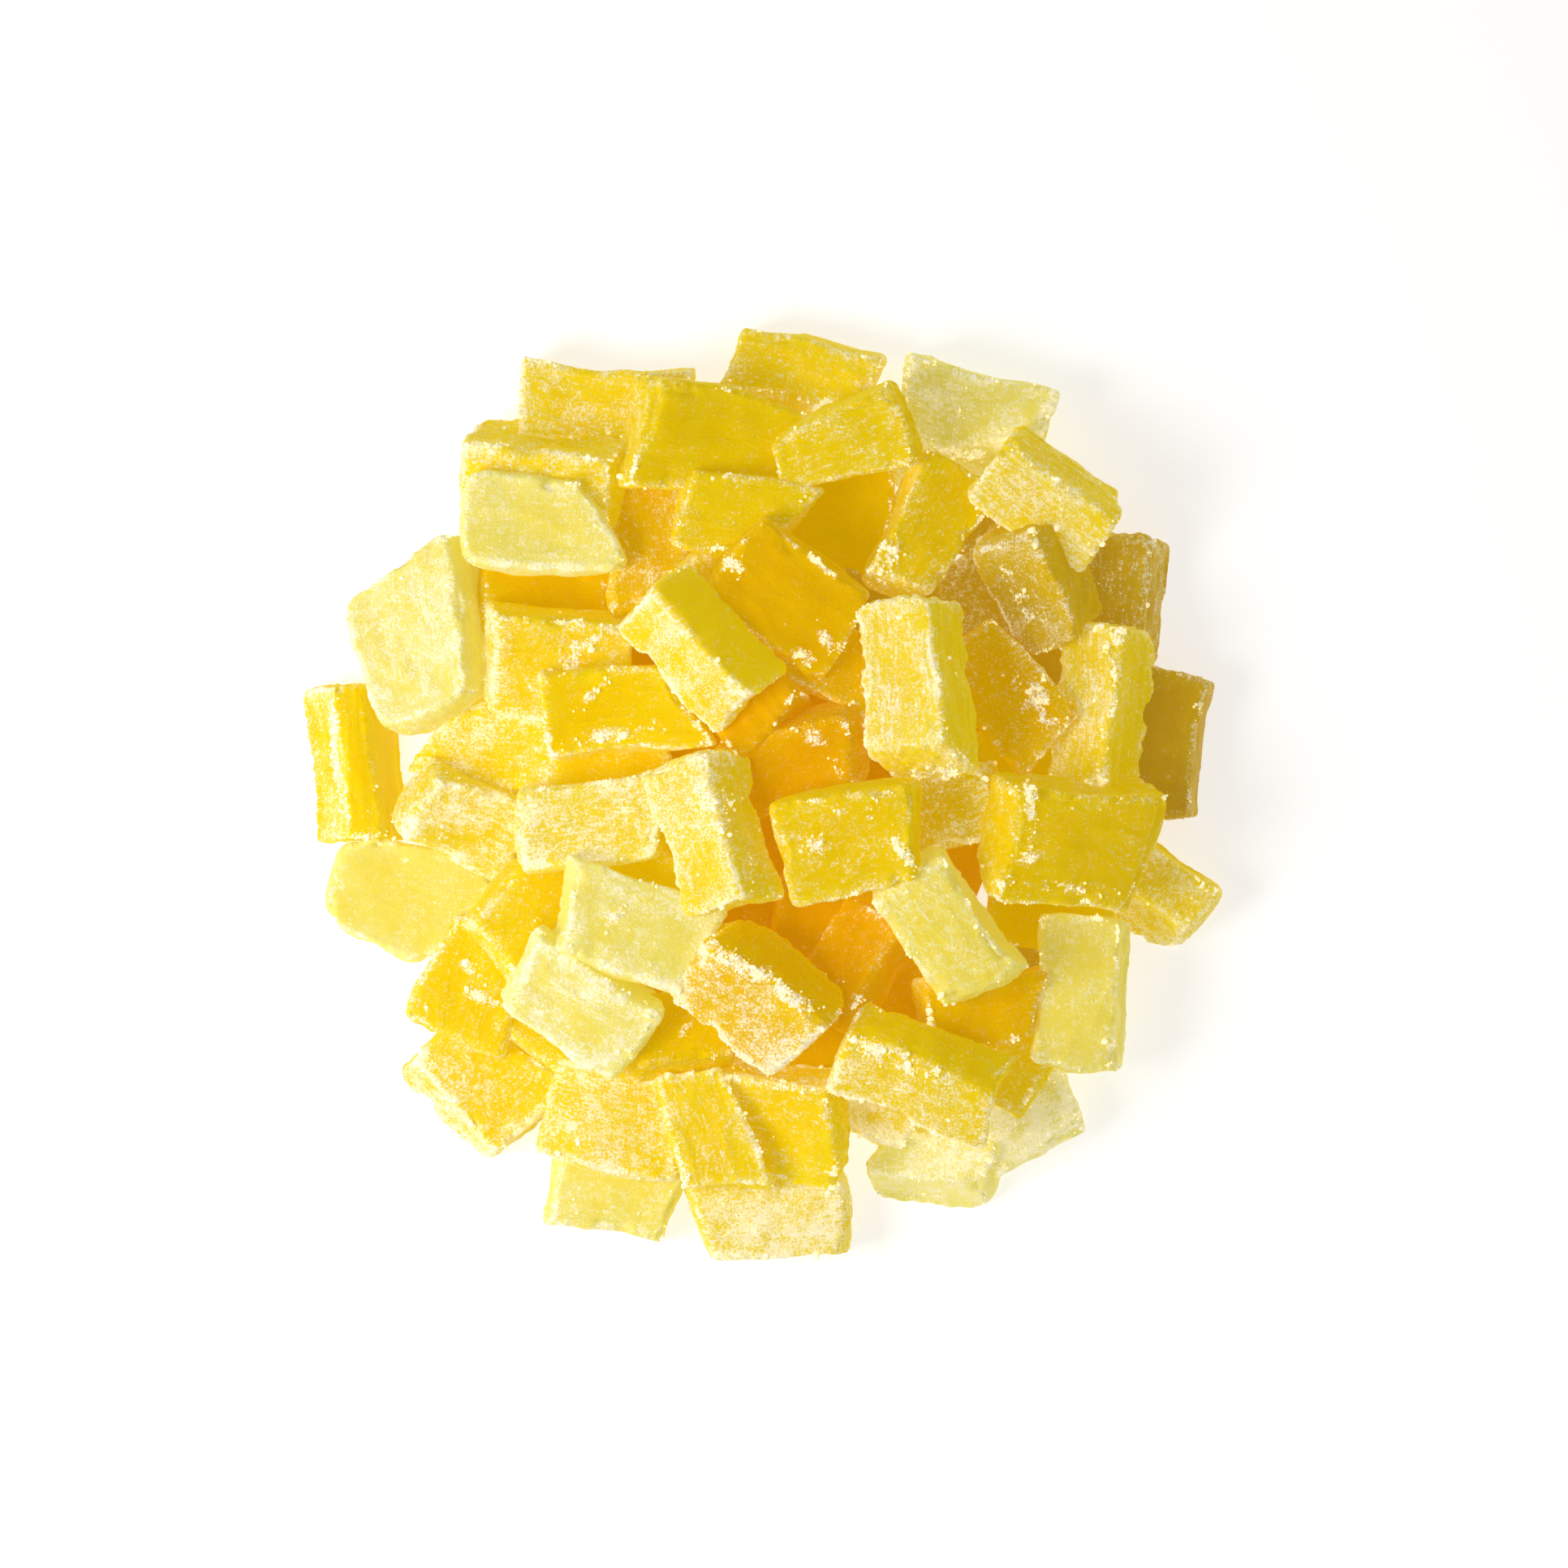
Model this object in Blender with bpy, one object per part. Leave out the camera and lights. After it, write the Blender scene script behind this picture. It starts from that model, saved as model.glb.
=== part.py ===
"""A round heap of diced dried pineapple, as it lies on a table.

The heap is one solid: a low hidden core, and the dice that show.
Each die is a block cut from a dried ring, with blunt edges, sloping sides and a pinched or bulging waist.
The dice are laid one after another, from the table up, and each lies on what is under it.
Lengths in the table are millimetres and angles are degrees. The finished object is in metres.
"""

import math
import random
from typing import NamedTuple

import bmesh
import bpy
import numpy as np
from mathutils import Euler, Vector

MM = 0.001

# Dice
EDGE = 0.9
WAIST = (-0.10, 0.06)

# Heights that the dice are laid on
GRID_STEP = 0.5
GRID_HALF = 60.0
SINK = 0.6
TOUCHING_SHARE = 0.86
STEEPEST = math.tan(math.radians(20))
TIP_ROUNDS = 6
TIP_TRIALS = 9
TIP_COST = 0.4
THIN = 1e-6

# Layers. A die's middle is held down to its layer, and the fruit gives where others are in the way
FIRST_MIDDLE = 3.5
LAYER = 5.0
GIVE = 1.6

# Hidden core
CORE_RADIUS = 27.0
CORE_HEIGHT = 8.0
CORE_SIDES = 24
CORE_RINGS = ((0.45, 0.86), (0.8, 0.5), (1.0, 0.12))

# Flat underside
FLOOR_DEPTH = 5.0

# Largest scrap of the union that is dropped
SCRAP = 30.0

PALE_GOLD = (0.93, 0.66, 0.17, 1.0)


class Die(NamedTuple):
    """One die. Its length lies along X, its width along Y and its thickness along Z before it is turned."""

    name: str
    layer: float  # how far up the heap it may lie, and 1 is on the table
    at: tuple  # the middle, east and north of the heap's middle
    turn: float
    size: tuple
    cuts: tuple = (0, 0)  # slant of the -X and +X ends in plan
    taper: float = 0.0  # how much wider the +X end is
    banks: tuple = (0, 0, 0, 0)  # slope of the -Y, +Y, -X and +X sides, as the way in from foot to top
    roll: float = None  # lift of the +Y side, where the die leans in its own way
    pitch: float = 0.0  # lift of the +X end, likewise


# Dice that show. The lowest layer is laid first, and each layer in the order below
DICE = (
    Die("north_end", 1, (4.1, 46.0), -11, (15.2, 10.4, 7), (10, 18), 0.0, (4, 0, 0, 0)),
    Die("northwest_back", 1, (-18.3, 43.6), -3, (17, 9.5, 7.5), (8, 24)),
    Die("northeast_slab", 1, (24.1, 41.3), -7, (16, 12.2, 8), (0, 8), -0.22, (4.5, 0, 0, 0)),
    Die("east_upper", 1, (40.6, 22.6), 80, (13, 10.5, 8), (0, 0), -0.08, (3, 0, 0, 0)),
    Die("east_flat", 1, (45.2, 6.2), 83, (16.5, 11.8, 7.6), (0, 8), 0.0, (1.5, 0, 0, 0)),
    Die("southeast_stick", 1, (43.7, -10.4), -36, (13.4, 9, 7), (0, 6), 0.0, (4, 0, 0, 0)),
    Die("southeast_square", 1, (29.2, -35.6), 31, (11.2, 10.2, 7), (8, 8)),
    Die("south_wedge", 1, (19.8, -41.2), -5, (14, 9.8, 7), (17, 12), 0.0, (3.5, 2, 0, 0)),
    Die("south_strip", 1, (12.4, -34.6), -26, (12, 7, 6.5)),
    Die("southwest_low", 1, (-15.9, -44.0), -8, (15, 9.3, 7.5), (5, 20)),
    Die("southwest_corner", 1, (-31.3, -32.2), -45, (14.5, 12, 8.5), (0, 4), 0.0, (2.5, 0, 0, 0)),
    Die("west_smooth", 1, (-40.3, -11.6), -18, (16.8, 12.6, 8), (4, 26), 0.05),
    Die("west_end", 1, (-45.6, 4.0), 97, (17.8, 10.8, 8), (4, 4), 0.0, (3, 4.5, 0, 0)),
    Die("west_seam", 1, (-30.5, 18.0), 90, (15, 7, 7)),
    Die("north_shade", 1, (8.9, 30.6), 4, (11.5, 12, 8), (6, 4)),
    Die("northwest_gap", 1.2, (-25.0, 22.5), 0, (14, 9.5, 7)),
    Die("north_upright", 1.5, (-12.6, 28.0), 97, (15, 8, 9)),
    Die("west_gap", 1.7, (-17.0, 3.8), 10, (14, 9, 7)),
    Die("west_inner_gap", 2, (-12.3, -9.5), -30, (13, 9, 7)),
    Die("middle_deep", 2, (6.6, 9.4), -28, (14, 9, 7)),
    Die("middle_north_gap", 1, (13.4, 21.5), -8, (12, 8, 7)),
    Die("east_gap", 1, (32.0, 12.0), -22, (13, 9.5, 7)),
    Die("east_inner_gap", 1.5, (29.3, 3.4), 8, (14, 9, 7)),
    Die("southeast_gap", 1, (32.5, -13.4), -8, (14, 8.5, 6.5)),
    Die("south_inner_gap", 1, (28.4, -28.5), 62, (13, 9, 7)),
    Die("south_deep", 1, (6.4, -28.0), 60, (12, 8, 7)),
    Die("middle_south_gap", 2, (8.5, -13.4), -6, (14, 9, 8)),
    Die("amber_low", 1.6, (15.4, -21.8), -22, (13, 9, 7.5)),
    Die("southwest_nub", 1.2, (-24.6, -26.5), -40, (11, 7, 6.5)),
    Die("south_bar", 1, (-13.2, -30.3), -12, (12.5, 8, 7.5)),
    Die("north_nub", 2, (-6.0, 24.4), 30, (8, 6, 6)),
    Die("amber_ridge", 2.4, (10.8, -19.4), 54, (13, 7.5, 8), roll=-24),
    Die("middle_north", 2.6, (7.9, 14.6), -22, (13, 9.5, 7)),
    Die("middle_east", 2.6, (20.8, -2.0), 14, (12, 8.5, 7)),
    Die("middle_amber", 3, (4.0, 4.0), 16, (14.5, 9.5, 7.5), (0, 14)),
    Die("northwest_block", 1.8, (-23.8, 35.7), -5, (17.3, 9, 8)),
    Die("north_wedge", 2, (18.4, 30.0), 60, (16, 8.5, 8), (-16, 0), 0.22),
    Die("southeast_tile", 1.8, (36.4, -21.8), 88, (16.5, 11, 7.5), (0, 2), 0.0, (1.5, 0, 0, 0)),
    Die("west_tall", 2, (-37.8, 17.5), 101, (17.2, 12, 9), (-14, -24), 0.08),
    Die("west_fibrous", 2, (-32.9, -2.6), -24, (13.8, 8.8, 7.5), (10, 0)),
    Die("west_yellow", 1.2, (-29.5, 6.4), -9, (14, 9.0, 8), (28, -8)),
    Die("southwest_crust", 1.6, (-32.3, -20.2), 75, (14.5, 9.2, 7.5), (10, -10), -0.2),
    Die("southwest_torn", 2, (-26.4, -13.6), 47, (12, 9.2, 7), (10, -14)),
    Die("south_amber", 2.4, (-8.7, -26.8), 10, (13, 8, 7), (-18, 16)),
    Die("south_golden", 2, (2.3, -36.0), -8, (13, 11, 8), (-14, -6)),
    Die("south_end", 1.2, (1.3, -46.8), 3, (16, 10.6, 8.5), (-18, 0)),
    Die("southwest_pad", 1.8, (-16.3, -35.6), -12, (14, 11, 8), (4, -6)),
    Die("south_pointed", 2.4, (-6.0, -37.0), -72, (13.4, 8, 7.5), (8, 18), 0.14),
    Die("southeast_curved", 2.2, (24.9, -23.8), 8, (14, 8, 7.5), (0, 14), -0.12),
    Die("north_slab", 1.9, (-5.4, 40.2), -8, (19, 10, 8), (4, 6), -0.24),
    Die("north_rimmed", 2.4, (-2.8, 31.4), -10, (12.8, 8.8, 7), (0, 36)),
    Die("middle_gold", 3, (3.1, 22.1), -36, (15.5, 11.2, 8), (6, -6)),
    Die("east_dusted", 2, (27.8, 11.2), -47, (15.3, 9.4, 8), (0, -8)),
    Die("northeast_ridge", 2.2, (31.3, 23.9), -60, (14.4, 8.5, 8), roll=34, pitch=-12),
    Die("west_star", 2.2, (-22.3, 15.0), -4, (16, 11.6, 8), (-3, 0)),
    Die("west_golden", 3, (-15.7, 9.6), 6, (15.8, 9.6, 8), (0, -34)),
    Die("middle_under", 3, (-2.4, 12.2), -44, (14, 10.5, 7)),
    Die("west_dusted", 3, (-18.4, -3.0), 4, (16, 9.0, 7.5), (-4, 6)),
    Die("northwest_pale", 2.5, (-25.1, 30.6), -4, (16.4, 9.2, 7), (0, -32)),
    Die("north_point", 2.5, (9.6, 39.9), 18, (14.4, 7.8, 7.5), (0, 0), 0.3, roll=8, pitch=12),
    Die("middle_ridge", 4, (-6.3, 16.4), -46, (16.5, 7.8, 7.2), roll=44, pitch=4),
    Die("southeast_long", 3.5, (21.2, -14.9), -54, (17.2, 9.3, 7.5), (4, 8), 0.0, (0, 0, 0, 2.5), 8, -12),
    Die("south_ridge", 3.2, (17.9, -30.8), -20, (18.2, 8, 7.5), (4, 0), roll=40),
    Die("southwest_cream", 3.4, (-20.0, -23.0), -31, (15, 9, 7.5), (-4, 4), roll=14, pitch=-8),
    Die("south_frosted", 4, (-0.4, -21.6), -37, (15.5, 9, 8.2), (4, 6), roll=34),
    Die("east_stick", 2, (38.6, 9.8), 82, (17.6, 7.6, 7.6), roll=-34),
    Die("east_broad", 3.3, (34.3, -5.0), -6, (17.2, 12.6, 8), (0, 16)),
    Die("northeast_beige", 2.4, (32.2, 33.6), -32, (15, 8.6, 7.6), roll=28, pitch=-6),
    Die("middle_dusted", 4.1, (10.0, -4.7), 11, (16, 11, 8), (-4, 2)),
    Die("middle_white", 4.9, (-4.8, -4.2), 104, (17, 8.8, 8), roll=-34, pitch=-6),
    Die("south_lemon", 4.7, (-14.3, -14.7), -22, (16.2, 10.4, 6.8), (-9, 7)),
    Die("middle_tall", 4.4, (17.5, 11.9), 93, (19.6, 10, 8.6), (0, 0), 0.0, (0, 0, 3, 0), -30, -6),
)


def triangles_of(mesh):
    """The points and triangles of a bmesh, which is then freed."""
    bmesh.ops.triangulate(mesh, faces=mesh.faces[:])
    mesh.verts.index_update()
    points = np.array([corner.co for corner in mesh.verts])
    faces = np.array([[corner.index for corner in face.verts] for face in mesh.faces])
    mesh.free()
    return points, faces


def block_mesh(die):
    """The die before it is turned: a block with blunt edges, cut to its own shape."""
    mesh = bmesh.new()
    bmesh.ops.create_cube(mesh, size=1.0)
    bmesh.ops.scale(mesh, vec=die.size, verts=mesh.verts)
    bmesh.ops.bevel(mesh, geom=mesh.edges[:], offset=EDGE, segments=1, affect="EDGES")
    everything = mesh.verts[:] + mesh.edges[:] + mesh.faces[:]
    bmesh.ops.bisect_plane(mesh, geom=everything, plane_co=(0, 0, 0), plane_no=(1, 0, 0))
    points, faces = triangles_of(mesh)
    return shaped(die, points), faces


def shaped(die, points):
    """A block's points with the die's waist, taper, slanted ends and sloping sides."""
    draw = random.Random(die.name)
    waist = draw.uniform(*WAIST)
    belly = draw.uniform(*WAIST)
    x, y, z = points.T
    along, across, up = (2 * points / np.array(die.size)).T
    hollow = 1 - along**2
    share = (1 + up) / 2
    front, back, left, right = die.banks
    y = y * (1 + waist * hollow) * (1 + die.taper * along)
    y = y + share * (front * (1 - across) - back * (1 + across)) / 2
    x = x + share * (left * (1 - along) - right * (1 + along)) / 2
    slants = np.tan(np.radians(die.cuts))
    x = x + y * np.abs(along) * np.where(along < 0, slants[0], slants[1])
    z = z * (1 + belly * hollow)
    return np.stack([x, y, z], axis=1)


def core_mesh():
    """The hidden core: a low mound of rings."""
    mesh = bmesh.new()
    rings = []
    for share, height in CORE_RINGS:
        ring = []
        for side in range(CORE_SIDES):
            bearing = math.tau * side / CORE_SIDES
            reach = CORE_RADIUS * share
            place = (reach * math.cos(bearing), reach * math.sin(bearing), CORE_HEIGHT * height)
            ring.append(mesh.verts.new(place))
        rings.append(ring)
    rings.append([mesh.verts.new((corner.co.x, corner.co.y, -SINK)) for corner in rings[-1]])
    top = mesh.verts.new((0, 0, CORE_HEIGHT))
    for side in range(CORE_SIDES):
        after = (side + 1) % CORE_SIDES
        mesh.faces.new((top, rings[0][side], rings[0][after]))
        for inner, outer in zip(rings, rings[1:]):
            mesh.faces.new((inner[side], outer[side], outer[after], inner[after]))
    mesh.faces.new(rings[-1][::-1])
    return triangles_of(mesh)


class Ground:
    """The heights laid so far, on a square grid."""

    def __init__(self):
        self.line = np.arange(-GRID_HALF, GRID_HALF + GRID_STEP / 2, GRID_STEP)
        self.heights = np.zeros((len(self.line), len(self.line)))

    def cells(self, points, faces):
        """The grid cells that each triangle covers, with its height there."""
        for corners in points[faces]:
            first = np.ceil((corners[:, :2].min(axis=0) + GRID_HALF) / GRID_STEP).astype(int)
            last = np.floor((corners[:, :2].max(axis=0) + GRID_HALF) / GRID_STEP).astype(int)
            (ax, ay, az), (bx, by, bz), (cx, cy, cz) = corners
            area = (bx - ax) * (cy - ay) - (cx - ax) * (by - ay)
            if (first > last).any() or abs(area) < THIN:
                continue
            rows, columns = np.mgrid[first[0] : last[0] + 1, first[1] : last[1] + 1].reshape(2, -1)
            east = self.line[rows] - ax
            north = self.line[columns] - ay
            of_b = (east * (cy - ay) - (cx - ax) * north) / area
            of_c = ((bx - ax) * north - east * (by - ay)) / area
            inside = (of_b >= 0) & (of_c >= 0) & (of_b + of_c <= 1)
            height = az + of_b * (bz - az) + of_c * (cz - az)
            yield rows[inside], columns[inside], height[inside]

    def add(self, points, faces):
        for rows, columns, height in self.cells(points, faces):
            np.maximum.at(self.heights, (rows, columns), height)

    def underside(self, points, faces):
        """The lowest height of a shape over each cell, and infinity beside it."""
        lowest = np.full_like(self.heights, np.inf)
        for rows, columns, height in self.cells(points, faces):
            np.minimum.at(lowest, (rows, columns), height)
        return lowest

    def slope(self, points, faces, at, most):
        """The slope, east and north, at which a flat shape's middle lies lowest on heights up to most."""
        rows, columns = np.nonzero(np.isfinite(self.underside(points, faces)))
        east = self.line[rows] - at[0]
        north = self.line[columns] - at[1]
        height = np.minimum(self.heights[rows, columns], most)
        best = np.zeros(2)
        span = STEEPEST
        for _ in range(TIP_ROUNDS):
            steps = np.linspace(-span, span, TIP_TRIALS)
            trials = best + np.stack(np.meshgrid(steps, steps), axis=-1).reshape(-1, 2)
            trials = np.clip(trials, -STEEPEST, STEEPEST)
            clear = height - trials[:, :1] * east - trials[:, 1:] * north
            middle = clear.max(axis=1) + TIP_COST * np.hypot(*trials.T)
            best = trials[middle.argmin()]
            span /= 2
        return best


def laid(dice, ground):
    """Each die's name with its points and faces where it lies. The ground rises as they are laid."""
    placed = []
    for die in sorted(dice, key=lambda die: die.layer):
        points, faces = block_mesh(die)
        middle = FIRST_MIDDLE + LAYER * (die.layer - 1)
        flat = Euler((0, 0, math.radians(die.turn))).to_matrix()
        touching = points * (TOUCHING_SHARE, TOUCHING_SHARE, 1)
        if die.roll is None:
            footprint = touching @ np.array(flat).T + (*die.at, 0)
            rise = ground.slope(footprint, faces, die.at, middle - die.size[2] / 2 + GIVE)
            normal = Vector((-rise[0], -rise[1], 1))
            turned = np.array(Vector((0, 0, 1)).rotation_difference(normal).to_matrix() @ flat)
        else:
            lean = Euler((math.radians(die.roll), -math.radians(die.pitch), 0)).to_matrix()
            turned = np.array(flat @ lean)
        lowest = ground.underside(touching @ turned.T + (*die.at, 0), faces)
        drop = (ground.heights - lowest)[np.isfinite(lowest)].max() - SINK
        points = points @ turned.T + (*die.at, min(drop, middle))
        ground.add(points, faces)
        placed.append((die.name, points, faces))
    return placed


def add_object(name, points, faces, collection):
    data = bpy.data.meshes.new(name)
    data.from_pydata((points * MM).tolist(), [], faces.tolist())
    made = bpy.data.objects.new(name, data)
    collection.objects.link(made)
    return made


def floor_block(collection):
    """A slab whose top is the table, which cuts the underside flat."""
    mesh = bmesh.new()
    bmesh.ops.create_cube(mesh, size=1.0)
    bmesh.ops.scale(mesh, vec=(4 * GRID_HALF, 4 * GRID_HALF, FLOOR_DEPTH), verts=mesh.verts)
    bmesh.ops.translate(mesh, vec=(0, 0, -FLOOR_DEPTH / 2), verts=mesh.verts)
    points, faces = triangles_of(mesh)
    return add_object("floor_block", points, faces, collection)


def shells_of(mesh):
    """The separate closed surfaces of a mesh, as lists of faces."""
    waiting = set(mesh.faces)
    shells = []
    while waiting:
        shell = [waiting.pop()]
        for face in shell:
            for edge in face.edges:
                for other in edge.link_faces:
                    if other in waiting:
                        waiting.remove(other)
                        shell.append(other)
        shells.append(shell)
    return shells


def volume_of(shell):
    """The volume that a triangulated shell encloses, in cubic millimetres. A hollow's is negative."""
    corners = np.array([[corner.co for corner in face.verts] for face in shell]) / MM
    return np.linalg.det(corners).sum() / 6


def keep_outer_shell(data):
    """Fills the sealed hollows and drops the scraps that the union leaves."""
    mesh = bmesh.new()
    mesh.from_mesh(data)
    bmesh.ops.triangulate(mesh, faces=mesh.faces[:])
    shells = sorted(shells_of(mesh), key=len)
    for shell in shells[:-1]:
        if volume_of(shell) > SCRAP:
            raise ValueError("a die lies loose from the heap")
        bmesh.ops.delete(mesh, geom=shell, context="FACES")
    mesh.to_mesh(data)
    mesh.free()


def apply_boolean(target, operation, **operand):
    joined = target.modifiers.new("joined", "BOOLEAN")
    joined.operation = operation
    joined.solver = "EXACT"
    for setting, value in operand.items():
        setattr(joined, setting, value)
    bpy.context.view_layer.objects.active = target
    bpy.ops.object.modifier_apply(modifier=joined.name)


def remove_objects(objects):
    for helper in list(objects):
        bpy.data.objects.remove(helper)


def main():
    remove_objects(bpy.data.objects)
    scene = bpy.context.scene.collection
    ground = Ground()
    core_points, core_faces = core_mesh()
    ground.add(core_points, core_faces)
    placed = laid(DICE, ground)

    corners = np.concatenate([points for _, points, _ in placed])[:, :2]
    middle = (*(corners.min(axis=0) + corners.max(axis=0)) / 2, 0)
    heap = add_object("pineapple_heap", core_points - middle, core_faces, scene)
    helpers = bpy.data.collections.new("dice")
    scene.children.link(helpers)
    for name, points, faces in placed:
        add_object(name, points - middle, faces, helpers)

    apply_boolean(heap, "UNION", operand_type="COLLECTION", collection=helpers)
    remove_objects(helpers.objects)
    bpy.data.collections.remove(helpers)
    floor = floor_block(scene)
    apply_boolean(heap, "DIFFERENCE", object=floor)
    remove_objects([floor])
    keep_outer_shell(heap.data)

    flesh = bpy.data.materials.new("dried_pineapple")
    flesh.use_nodes = True
    surface = flesh.node_tree.nodes["Principled BSDF"]
    surface.inputs["Base Color"].default_value = PALE_GOLD
    surface.inputs["Roughness"].default_value = 0.55
    heap.data.materials.append(flesh)


if __name__ == "__main__":
    main()
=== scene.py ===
"""A heap of diced dried pineapple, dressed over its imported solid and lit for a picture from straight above.

The file is laid out as an add-on for Blender and is run as a script.
The dice are laid exactly as in the solid, and each one is then made again as a fine closed mesh:
rounded edges, dished faces, fibres, torn edges and a crust of sugar, with loose crumbs on top.
Lengths in the tables are millimetres and angles are degrees. The finished pieces are in metres.
"""

import functools
import itertools
import math
import random
from typing import NamedTuple

import bmesh
import bpy
import numpy as np
from bpy.props import FloatProperty, FloatVectorProperty, IntProperty, PointerProperty
from mathutils import Euler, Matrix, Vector


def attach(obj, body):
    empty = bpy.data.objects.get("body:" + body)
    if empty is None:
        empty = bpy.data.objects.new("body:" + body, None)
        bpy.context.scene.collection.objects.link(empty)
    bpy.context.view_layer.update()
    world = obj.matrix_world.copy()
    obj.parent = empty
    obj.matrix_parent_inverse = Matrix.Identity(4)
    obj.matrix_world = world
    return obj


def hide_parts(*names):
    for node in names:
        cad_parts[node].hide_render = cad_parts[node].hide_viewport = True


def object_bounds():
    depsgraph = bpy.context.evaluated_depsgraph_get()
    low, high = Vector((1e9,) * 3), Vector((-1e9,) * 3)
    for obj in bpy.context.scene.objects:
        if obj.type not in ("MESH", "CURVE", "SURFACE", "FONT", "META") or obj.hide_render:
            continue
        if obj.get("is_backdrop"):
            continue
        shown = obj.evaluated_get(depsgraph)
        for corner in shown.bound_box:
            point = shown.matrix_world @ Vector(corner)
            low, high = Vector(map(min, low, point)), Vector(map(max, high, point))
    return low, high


bl_info = {
    "name": "Dried pineapple heap",
    "version": (1, 0, 0),
    "blender": (4, 5, 0),
    "location": "View3D > Sidebar > Pineapple",
    "description": "Builds a heap of diced dried pineapple over its packed solid",
    "category": "Add Mesh",
}

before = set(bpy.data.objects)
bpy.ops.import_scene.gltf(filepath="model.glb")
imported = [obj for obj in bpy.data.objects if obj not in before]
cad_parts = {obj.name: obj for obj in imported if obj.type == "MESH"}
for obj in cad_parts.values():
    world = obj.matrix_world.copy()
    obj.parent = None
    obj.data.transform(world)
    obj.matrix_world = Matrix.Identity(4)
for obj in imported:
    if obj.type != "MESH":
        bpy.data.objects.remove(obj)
CAD_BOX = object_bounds()

NODE = "pineapple_heap"
BODY = "root"
MM = 0.001

# Layout of the dice, as in the solid
EDGE = 0.9  # how far a block's edges are cut off
WAIST = (-0.10, 0.06)  # how much wider a block is at its middle
GRID_STEP = 0.5
GRID_HALF = 60.0
SINK = 0.6  # how deep a die sinks into what it lies on
TOUCHING_SHARE = 0.86  # share of a die's length and width that can touch other dice
STEEPEST = math.tan(math.radians(20))  # slope at which a die may come to rest
TIP_ROUNDS = 6
TIP_TRIALS = 9
TIP_COST = 0.4  # how much sooner a die lies level than tilted
THIN = 1e-6  # area in plan under which a triangle counts as upright
FIRST_MIDDLE = 3.5  # highest middle of a die in the first layer
LAYER = 5.0
GIVE = 1.6  # how far over a die's foot the heap still tips it
CORE_RADIUS = 27.0
CORE_HEIGHT = 8.0
CORE_SIDES = 24
CORE_RINGS = ((0.45, 0.86), (0.8, 0.5), (1.0, 0.12))  # shares of the radius and of the height


class Die(NamedTuple):
    """One die. Its length lies along X, its width along Y and its thickness along Z before it is turned."""

    name: str
    layer: float  # how far up the heap it may lie, and 1 is on the table
    at: tuple  # the middle, east and north of the heap's middle
    turn: float
    size: tuple
    cuts: tuple = (0, 0)  # slant of the -X and +X ends in plan
    taper: float = 0.0  # how much wider the +X end is
    banks: tuple = (0, 0, 0, 0)  # how far the -Y, +Y, -X and +X sides lean in from foot to top
    roll: float = None  # lift of the +Y side, where the die leans in its own way
    pitch: float = 0.0  # lift of the +X end, likewise


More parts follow.
